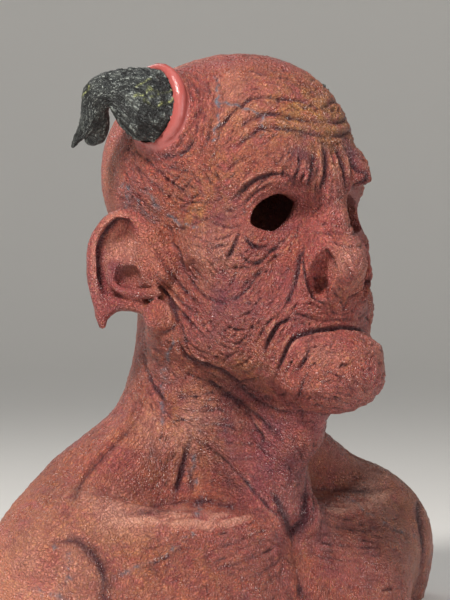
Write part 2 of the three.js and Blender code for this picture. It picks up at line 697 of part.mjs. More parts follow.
// The geometry with each vertex moved out along its normal.
function grown(geometry, distance) {
  const wide = geometry.clone();
  wide.computeVertexNormals();
  const { position, normal } = wide.attributes;
  for (let i = 0; i < position.count; i++) {
    const p = new THREE.Vector3().fromBufferAttribute(position, i);
    p.addScaledVector(new THREE.Vector3().fromBufferAttribute(normal, i), distance);
    position.setXYZ(i, ...list(p));
  }
  return wide;
}

function mirrored(geometry) {
  const other = geometry.clone().applyMatrix4(new THREE.Matrix4().makeScale(-1, 1, 1));
  const { array } = other.index;
  for (let i = 0; i < array.length; i += 3) [array[i], array[i + 1]] = [array[i + 1], array[i]];
  return other;
}

const hornNet = surfaceNet(horn, [40, -45, 325], [135, 70, 425], HORN_CELL);
const hornLeft = geometryOf(thinned(hornNet, HORN_TRIANGLES, () => 1));
const hornRight = mirrored(hornLeft);

const skinNet = surfaceNet(skin, [-222, -150, -10], [222, 122, 426], SCULPT_CELL);
const bodyGeometry = geometryOf(thinned(skinNet, SKIN_TRIANGLES, skinKeenness));
const aboveRim = new THREE.BoxGeometry(600, 600, 600).translate(0, 0, RIM_Z + 300);
const skinSolid = solidOf(bodyGeometry)
  .intersect(solidOf(aboveRim))
  .subtract(solidOf(grown(hornLeft, SOCKET_GAP)))
  .subtract(solidOf(grown(hornRight, SOCKET_GAP)));

// The scene graph.

const silicone = new THREE.MeshStandardMaterial({ color: 0xa8573f, roughness: 0.5, metalness: 0 });
const hornResin = new THREE.MeshStandardMaterial({ color: 0x3b3f38, roughness: 0.7, metalness: 0 });

const mask = new THREE.Group();
mask.name = 'devil_mask';
const pieces = [
  ['mask_skin', geometryOfSolid(skinSolid), silicone],
  ['horn_right', hornRight, hornResin],
  ['horn_left', hornLeft, hornResin],
];
for (const [name, geometry, material] of pieces) {
  geometry.computeVertexNormals();
  const mesh = new THREE.Mesh(geometry, material);
  mesh.name = name;
  mesh.position.y = CENTRE_Y;
  mask.add(mesh);
}

export default mask;
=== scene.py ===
"""Devil mask: a pulled-over silicone head, neck and shoulders with two cast horns.

The sculpt is a blend of soft forms, worked out in millimetres before it becomes a mesh in
metres. Every form is mirrored in the plane x = 0. +Z is up and the face looks along -Y.
"""

import math
from typing import Callable, NamedTuple

import bpy
import numpy as np
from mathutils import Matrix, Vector


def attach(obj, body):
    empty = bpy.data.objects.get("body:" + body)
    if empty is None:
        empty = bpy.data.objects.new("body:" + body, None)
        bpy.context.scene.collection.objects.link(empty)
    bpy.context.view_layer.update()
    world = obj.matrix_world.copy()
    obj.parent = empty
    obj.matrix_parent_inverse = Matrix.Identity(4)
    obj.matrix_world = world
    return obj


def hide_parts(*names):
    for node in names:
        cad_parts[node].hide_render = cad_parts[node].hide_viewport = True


bl_info = {
    "name": "Devil mask",
    "version": (1, 0, 0),
    "blender": (4, 5, 0),
    "location": "3D View > Sidebar > Devil mask",
    "description": "A full-head devil mask with wrinkled skin and two horns",
    "category": "Add Mesh",
}

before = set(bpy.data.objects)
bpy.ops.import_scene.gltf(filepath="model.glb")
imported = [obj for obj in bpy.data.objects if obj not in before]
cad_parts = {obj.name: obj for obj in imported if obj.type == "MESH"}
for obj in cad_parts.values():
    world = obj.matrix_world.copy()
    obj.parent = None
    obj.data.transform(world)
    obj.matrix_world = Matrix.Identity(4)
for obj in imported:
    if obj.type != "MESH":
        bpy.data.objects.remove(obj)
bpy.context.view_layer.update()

MM = 0.001
CENTRE_Y = 14.5  # moves the sculpt so that its middle stands over the origin
REACH = 34.0  # a form further off than this leaves a place alone
BLOCK = 24.0  # the sculpt is worked through in blocks of this side
BLOCK_SPAN = 256  # more blocks than the sculpt has along any axis

# Meshing, in millimetres of the sculpt. The skin is meshed from x = 0 outwards and mirrored.
SKIN_CELL = 1.25
SKIN_LOW = (-142, -SKIN_CELL / 2)
SKIN_HIGH = (216, 113, 426)
HORN_CELL = 0.9
HORN_LOW = (45, -45, 325)
HORN_HIGH = (135, 70, 425)
GRID_SPAN = 4096  # more cells than a net has along any axis
GRID_SPARE = 4  # cells that a net may step outside its grid
SKIN_TRIANGLES = 197000
INSIDE_TRIANGLES = 16000  # what the room inside is thinned to
DEEPEST_OUTSIDE = -4.5  # no fold of the outer skin goes deeper than this
FORWARD_PULL = 1e-6  # how strongly the face keeps its triangles when the skin is thinned
THINNING_STEPS = 20

# Head.
EYE_AT = (36.5, -80.0, 299.5)
EYE_HALF_WIDTH = 21.5
EYE_RISE = 13.5
EYE_FALL = 11.8
EYE_YAW = 14.0
EYE_ROLL = 21.0

# Ear: its own axes run back along the head, out of it, and up.
EAR_AT = (74.0, -2.0)
EAR_BACK = (0.64, 0.77)
EAR_OUT = (0.77, -0.64)
EAR_YAW = 50.0

# Collar of flesh and the horn in it.
COLLAR_AT = np.array([74.0, -1.0, 376.5])
COLLAR_RADIUS = 27.0
COLLAR_LIP = 5.0
SOCKET_RADIUS = 27.0
SOCKET_GAP = 0.4  # between a horn and the flesh around it
HORN_DIR = np.array([0.95, 0.08, 0.06]) / np.linalg.norm([0.95, 0.08, 0.06])
HORN_ROOT = 8.0  # how deep the horn sits in its collar


# Soft forms.


class Form(NamedTuple):
    """One soft form. distance(x, y, z) is negative inside it."""

    centre: np.ndarray
    reach: float
    blend: float
    distance: Callable
    is_cut: bool = False


def soft_min(a, b, blend):
    near = np.maximum(blend - np.abs(a - b), 0) / blend
    return np.minimum(a, b) - near * near * blend / 4


def soft_max(a, b, blend):
    return -soft_min(-a, -b, blend)


def smooth_step(value, low, high):
    share = np.clip((value - low) / (high - low), 0, 1)
    return share * share * (3 - 2 * share)


def cut(form):
    return form._replace(is_cut=True)


def turned(pitch, yaw, roll):
    """World offsets as seen from a form turned by roll about Y, pitch about X and yaw about Z."""
    a, b, c = np.radians([pitch, yaw, roll])
    about_x = np.array([[1, 0, 0], [0, np.cos(a), -np.sin(a)], [0, np.sin(a), np.cos(a)]])
    about_z = np.array([[np.cos(b), -np.sin(b), 0], [np.sin(b), np.cos(b), 0], [0, 0, 1]])
    about_y = np.array([[np.cos(c), 0, np.sin(c)], [0, 1, 0], [-np.sin(c), 0, np.cos(c)]])
    return (about_z @ about_x @ about_y).T


def blob(centre, radii, blend, pitch=0, yaw=0, roll=0):
    """An ellipsoid."""
    m = turned(pitch, yaw, roll)
    cx, cy, cz = centre
    rx, ry, rz = radii

    def distance(x, y, z):
        x, y, z = x - cx, y - cy, z - cz
        u = (m[0, 0] * x + m[0, 1] * y + m[0, 2] * z) / rx
        v = (m[1, 0] * x + m[1, 1] * y + m[1, 2] * z) / ry
        w = (m[2, 0] * x + m[2, 1] * y + m[2, 2] * z) / rz
        inner = np.sqrt(u * u + v * v + w * w) + 1e-9
        slope = np.sqrt((u / rx) ** 2 + (v / ry) ** 2 + (w / rz) ** 2) + 1e-9
        return inner * (inner - 1) / slope

    return Form(np.array(centre, float), max(radii) * 1.3, blend, distance)


def rope(points, radii, blend):
    """A string of round cones through the points."""
    points = np.array(points, float)
    radii = np.broadcast_to(np.array(radii, float), len(points))
    centre = (points.min(0) + points.max(0)) / 2
    reach = (np.linalg.norm(points - centre, axis=1) + radii).max()

    def distance(x, y, z):
        best = None
        for a, b, ra, rb in zip(points, points[1:], radii, radii[1:]):
            dx, dy, dz = b - a
            px, py, pz = x - a[0], y - a[1], z - a[2]
            share = np.clip((px * dx + py * dy + pz * dz) / (dx * dx + dy * dy + dz * dz), 0, 1)
            px, py, pz = px - share * dx, py - share * dy, pz - share * dz
            off = np.sqrt(px * px + py * py + pz * pz) - (ra + (rb - ra) * share)
            best = off if best is None else np.minimum(best, off)
        return best

    return Form(centre, reach, blend, distance)


def limb(a, b, radius_a, radius_b, blend):
    return rope([a, b], [radius_a, radius_b], blend)


def smooth_line(points, steps):
    """Catmull-Rom curve through rows of numbers."""
    p = np.array(points, float)
    p = np.vstack([2 * p[0] - p[1], p, 2 * p[-1] - p[-2]])
    rows = []
    for i in range(1, len(p) - 2):
        for t in np.arange(steps) / steps:
            rows.append(0.5 * (
                2 * p[i]
                + (p[i + 1] - p[i - 1]) * t
                + (2 * p[i - 1] - 5 * p[i] + 4 * p[i + 1] - p[i + 2]) * t * t
                + (3 * p[i] - p[i - 1] - 3 * p[i + 1] + p[i + 2]) * t ** 3
            ))
    rows.append(p[-2])
    return np.array(rows)


def cord(points, radii, blend, steps=3):
    """A rope along a smooth curve through the points."""
    radii = np.broadcast_to(np.array(radii, float), len(points))
    line = smooth_line(np.column_stack([points, radii]), steps)
    return rope(line[:, :3], line[:, 3], blend)


def almond(centre, half_width, half_depth, rise, fall, blend, yaw, roll):
    """Two arcs that meet at its corners, seen along Y."""
    m = turned(0, yaw, roll)
    cx, cy, cz = centre
    upper = (half_width ** 2 + rise ** 2) / (2 * rise)
    lower = (half_width ** 2 + fall ** 2) / (2 * fall)

    def distance(x, y, z):
        x, y, z = x - cx, y - cy, z - cz
        u = m[0, 0] * x + m[0, 1] * y + m[0, 2] * z
        v = m[1, 0] * x + m[1, 1] * y + m[1, 2] * z
        w = m[2, 0] * x + m[2, 1] * y + m[2, 2] * z
        above = np.hypot(u, w - (rise - upper)) - upper
        below = np.hypot(u, w + (fall - lower)) - lower
        return soft_max(soft_max(above, below, 1.5), np.abs(v) - half_depth, 3)

    return Form(np.array(centre, float), max(half_width, half_depth) * 1.3, blend, distance)


def post(centre, axis, radius, half_length, blend):
    """A round post along an axis."""

    def distance(x, y, z):
        x, y, z = x - centre[0], y - centre[1], z - centre[2]
        run = x * axis[0] + y * axis[1] + z * axis[2]
        radial = np.sqrt(np.maximum(x * x + y * y + z * z - run * run, 0))
        return soft_max(radial - radius, np.abs(run) - half_length, 2)

    return Form(np.array(centre, float), math.hypot(radius, half_length), blend, distance)


def ear(back, out, z):
    """A place on the ear."""
    x = EAR_AT[0] + EAR_BACK[0] * back + EAR_OUT[0] * out
    y = EAR_AT[1] + EAR_BACK[1] * back + EAR_OUT[1] * out
    return (x, y, z)


def eye_rim(grow):
    """The edge of the eye hole, for the roll of the lids."""
    slope = math.tan(math.radians(EYE_ROLL))
    points = []
    for angle in np.arange(13) / 12 * 2 * math.pi:
        x = (EYE_HALF_WIDTH + grow) * math.cos(angle)
        rise = (EYE_RISE if math.sin(angle) > 0 else EYE_FALL) + grow
        lift = rise * math.sin(angle) ** 2 * np.sign(math.sin(angle))
        face = -88 + 0.0155 * max(x + 18, 0) ** 2
        points.append((EYE_AT[0] + x, face, EYE_AT[2] + lift - slope * x))
    return points


def collar_ring():
    """Points round the lip of the collar."""
    side = np.cross([0, 0, 1], HORN_DIR)
    side /= np.linalg.norm(side)
    up = np.cross(HORN_DIR, side)
    angles = np.arange(25) / 24 * 2 * math.pi
    return [COLLAR_AT + COLLAR_RADIUS * (math.cos(a) * side + math.sin(a) * up) for a in angles]


HEAD = [
    blob((0, 5, 331), (77, 105, 86), 20),  # skull
    blob((0, -28, 348), (66, 66, 61), 25),  # forehead
    blob((0, -46, 282), (64, 60, 78), 25),  # middle of the face
    limb((62, -6, 218), (26, -84, 200), 20, 24, 25),  # jaw
    blob((46, -54, 232), (30, 42, 34), 20),  # jowl
    blob((54, -48, 276), (27, 36, 20), 16),  # cheekbone
    blob((0, -84, 236), (46, 32, 24), 12),  # upper lip
    limb((0, -90, 322), (0, -104, 274), 12, 17, 14),  # bridge of the nose
    blob((0, -106, 264), (27, 23, 22), 12),  # tip of the nose
    blob((20, -100, 256), (17, 20, 26), 7),  # wing of the nose
    cord(
        [(24, -109, 279), (31, -108, 271), (34, -108, 262), (33, -109, 253), (29, -111, 244),
         (22, -113, 237.5), (14, -115, 240)],
        [2, 2.8, 3, 3, 3, 2.8, 2],
        3,
    ),  # raised edge of the nostril
    limb((48, -72, 325), (14, -92, 333), 14, 12, 12),  # brow
    blob((52, -58, 322), (16, 14, 10), 10),  # corner of the brow
    cord([(48, -53, 322), (44, -74, 332), (36, -92, 336), (30, -106, 327)], [8, 10, 10, 7], 9),
    blob((0, -56, 218), (50, 50, 46), 20),  # bulk behind the mouth
    blob((0, -103, 184), (43, 36, 27), 6),  # chin
    blob((0, -103, 201), (43, 32, 16), 10),  # lower lip
    cord([(44, -60, 282), (40, -74, 277), (31, -87, 281)], [4.5, 6, 5], 7),  # bag under the eye
    cord([(22, -94, 267), (26, -87, 243), (31, -77, 218), (31, -71, 200)], [7, 10, 11, 9], 12),
    cord(eye_rim(1.5), 3.6, 7, 2),  # lids
]

NECK_AND_SHOULDERS = [
    limb((0, 16, 100), (0, 4, 240), 58, 56, 26),  # neck
    limb((0, -58, 170), (0, -42, 92), 24, 24, 20),  # throat
    blob((0, -64, 150), (20, 30, 26), 14, pitch=35),  # dewlap
    limb((58, 6, 205), (16, -60, 78), 10, 9, 14),  # neck muscle
    blob((0, 12, 0), (142, 88, 108), 30),  # trunk
    limb((30, 28, 154), (146, 18, 76), 34, 32, 30),  # shoulder slope
    blob((162, 8, 42), (50, 54, 60), 24),  # shoulder
    limb((160, 8, 40), (164, 8, -40), 44, 42, 20),  # top of the arm
    limb((24, -60, 74), (150, -16, 90), 7, 10, 18),  # collar bone
    blob((70, -46, 8), (64, 46, 60), 30),  # chest
    blob((104, -30, 38), (56, 36, 42), 24),  # breast muscle
    blob((88, 42, 58), (74, 42, 70), 30),  # shoulder blade
    limb((0, 30, 110), (0, 30, 258), 46, 42, 24),  # nape
]

EAR_FLESH = [
    blob(ear(24, -7, 265), (25, 7, 35), 6, yaw=EAR_YAW),  # plate
    limb((70, 6, 260), ear(22, -6, 258), 18, 8, 12),  # root
    cord(
        [
            ear(8, 3, 286), ear(16, 5, 296), ear(25, 6, 298.5), ear(34, 6, 294.5), ear(41.5, 5.5, 286),
            ear(45.5, 5, 276), ear(46.3, 4.5, 266), ear(46, 4, 254), ear(43.8, 3.5, 242),
            ear(41, 3, 231), ear(39.5, 2.5, 220),
        ],
        [6, 5.6, 5, 4.6, 4.3, 4.3, 4.3, 4.3, 4.2, 4, 2.8],
        4,
    ),  # outer rim, down to its point
    cord(
        [
            ear(16, -2, 291), ear(26, -2, 295), ear(35, -2, 290), ear(41, -2, 281), ear(43, -2, 268),
            ear(42.5, -2.5, 255), ear(40, -2.5, 242), ear(37.5, -1.5, 232),
        ],
        [4.5] * 8,
        4,
    ),  # web behind the rim
    cord([ear(14, 4, 291), ear(11, 4, 280), ear(10, 4, 266), ear(7, 3, 254)], [5.5, 5.5, 5.5, 4.5], 5),
    cord(
        [
            ear(19, 0, 277), ear(28, 2.5, 268), ear(32, 4.5, 260), ear(31, 5.5, 251),
            ear(24, 6, 245.5), ear(12, 7, 242.5), ear(0, 8, 243.5),
        ],
        [2.8, 3.5, 4, 4, 4, 4, 3.8],
        2,
    ),  # inner ridge
    cord(
        [ear(39.5, 1.5, 227), ear(33, 0, 233.5), ear(25, 0, 235.5), ear(13, 1, 234), ear(4, 0, 229)],
        [4.2, 5.5, 5.5, 5.5, 6],
        4,
    ),  # lower web
    blob(ear(-2, 9, 226), (12, 10, 12.5), 3),  # lobe
    limb(ear(4, 1, 284), ear(-3, 3, 258), 7, 7, 8),  # front flap
]

EARS = EAR_FLESH + [
    cut(blob(ear(20.5, 5, 254.5), (9.5, 10.5, 8.5), 3, yaw=EAR_YAW)),  # ear hole
    cut(blob(ear(28, 9, 279), (13.5, 11.5, 15), 4, yaw=EAR_YAW)),  # upper bowl
]

COLLAR_LIPS = [rope(collar_ring(), COLLAR_LIP, 5)]
COLLARS = [limb(COLLAR_AT - 30 * HORN_DIR, COLLAR_AT - 4 * HORN_DIR, 31, 27, 12)] + COLLAR_LIPS

HOLLOWS = [
    cut(blob((36, -98, 301), (22, 19, 14), 10)),  # eye socket
    cut(blob((24, -117, 257), (8.5, 11, 18), 3, yaw=45, roll=-18)),  # nostril
    cut(blob((20, -113, 249), (4.5, 13, 6), 3, yaw=38, roll=-18)),  # depth of the nostril
    cut(blob((84, -36, 114), (30, 14, 10), 22)),  # hollow over the collar bone
]

OUTER_FORMS = HEAD + NECK_AND_SHOULDERS + EARS + COLLARS + HOLLOWS

# The room inside: a wearer's head, neck and shoulders.
CORE_FORMS = [
    blob((0, 7, 328), (71, 97, 79), 20),
    blob((0, -38, 284), (57, 56, 68), 20),
    blob((0, -52, 216), (51, 48, 41), 20),
    limb((0, 18, 60), (0, 6, 240), 51, 50, 20),
    limb((0, 28, 90), (0, 30, 256), 40, 36, 20),
    blob((0, 12, -6), (136, 82, 107), 25),
    limb((30, 28, 150), (146, 18, 72), 29, 28, 25),
    blob((161, 9, 39), (42, 45, 51), 20),
    limb((160, 8, 40), (164, 8, -60), 37, 36, 20),
    blob((72, -43, 4), (60, 47, 58), 20),
    blob((104, -28, 36), (52, 32, 38), 20),
    blob((88, 41, 55), (69, 38, 66), 20),
]
SOCKET_FORMS = [post(COLLAR_AT, HORN_DIR, SOCKET_RADIUS, HORN_ROOT, 2)]
EYE_FORMS = [almond(EYE_AT, EYE_HALF_WIDTH, 34, EYE_RISE, EYE_FALL, 2, EYE_YAW, EYE_ROLL)]

# The horn: out of the collar, up and back, then down to a point.
HORN_START = COLLAR_AT - HORN_ROOT * HORN_DIR
HORN_LINE = [
    tuple(HORN_START), (78, 0, 377), (84, 1, 380.5), (90, 4, 384.5), (98, 10, 388.5), (104.5, 18.5, 388),
    (106, 26, 385.5), (104, 32.5, 375), (104.5, 38, 364), (108, 44, 355.5), (110, 48.5, 349),
]
HORN_RADII = [25.5, 26, 23.5, 20, 15, 12.5, 11, 9.3, 7, 4, 1.6]
HORN_FORMS = [
    cord(HORN_LINE, HORN_RADII, 6),
    cord([(100, 30, 382), (97, 37, 371), (93, 42, 361), (94, 45, 355)], [7, 9, 9, 6], 4),  # rear lobe
]

# Creases that run round each collar: how far from its lip, how deep and how wide.
COLLAR_CREASES = [(1.2, 1.1, 1.0), (5.5, 0.8, 1.1), (9.5, 0.6, 1.2), (14, 0.5, 1.3)]

FOLD_SWELL = 0.2  # how far the skin swells beside a fold, as a share of its depth
FOLD_TIGHTNESS = 0.72  # the cast skin's folds are tighter than the plain solid's
FOLD_NARROWEST = 1.4  # mm, so that the mesh can hold it
FOLD_SPAN = 4.0  # half the breadth that a fold works on, in widths

# Folds of the skin. Each is drawn as it is seen from the mask's right front, level with it, as
# points of (across, height), then its depth and its width. Both halves get it. A depth below
# zero is a ridge.
FOLDS = [
    ([(-6, 358), (3, 372), (13, 380), (23, 383), (49, 381), (63, 375)], 1.7, 3.2),
    ([(-1, 353), (8, 361), (20, 369), (32, 370), (62, 364), (75, 367)], 1.9, 3.2),
    ([(0, 343), (13, 353), (26, 361), (39, 360), (68, 354), (78, 356)], 2.1, 3.2),
    ([(61, 346), (61, 337), (59, 325), (54, 314)], 2.7, 3),
    ([(69, 352), (70, 338), (69, 324), (62, 312)], 2.9, 3),
    ([(5, 308), (12, 317), (20, 323), (31, 327), (42, 325)], 3.4, 3),
    ([(9, 289), (6, 279), (3, 273), (-2, 262)], 2, 2.6),
    ([(10, 285), (16, 278), (23, 274), (33, 274), (42, 279)], 2.2, 2.6),
    ([(26, 261), (18, 256), (11, 249), (4, 239)], 1.6, 2.6),
    ([(57, 283), (49, 269), (46, 248), (42, 237), (35, 226)], 2.2, 2.6),
    ([(31, 181), (36, 193), (41, 207), (47, 214), (63, 218), (81, 219), (97, 222)], 4.4, 2.2),
    ([(25, 204), (31, 215), (36, 222), (42, 226), (49, 226)], 1.5, 3),
    ([(56, 210), (55, 201), (52, 195), (41, 183)], 0.9, 2.6),
    ([(-59, 285), (-51, 271), (-42, 257), (-33, 246), (-14, 230)], 1.7, 2.6),
    ([(-55, 257), (-47, 246), (-40, 236), (-37, 226), (-31, 202)], 1.7, 2.6),
    ([(-37, 213), (-33, 200), (-25, 193), (-6, 189), (3, 182), (14, 172)], 3, 3.2),
    ([(-18, 179), (-7, 174), (6, 165), (18, 157), (31, 145), (42, 134)], 2, 3.2),
    ([(31, 110), (38, 92), (44, 78), (49, 60), (52, 40), (53, 5)], 2.2, 5),
    ([(-62, 190), (-55, 175), (-45, 165)], 1.4, 3.2),
    ([(-29, 138), (-33, 117), (-37, 96)], 1.6, 3.6),
    ([(-107, 77), (-90, 64), (-82, 50), (-85, 5)], 1.6, 10),
    ([(-49, 240), (-41, 237), (-37.5, 228), (-38.5, 219), (-47, 213), (-56, 215)], 2.2, 2.6),
    # groove inside the ear's rim
    ([(-66, 287), (-72, 294.5), (-79, 295), (-85, 290), (-90, 282.5), (-92.3, 275), (-92.3, 266),
      (-91.8, 256), (-90, 246.5), (-87.5, 241.5)], 3.6, 3),
    # crest of the collar bone
    ([(-104, 90), (-75, 87), (-45, 84), (-15, 82), (10, 81), (26, 86)], -1.5, 11),
]

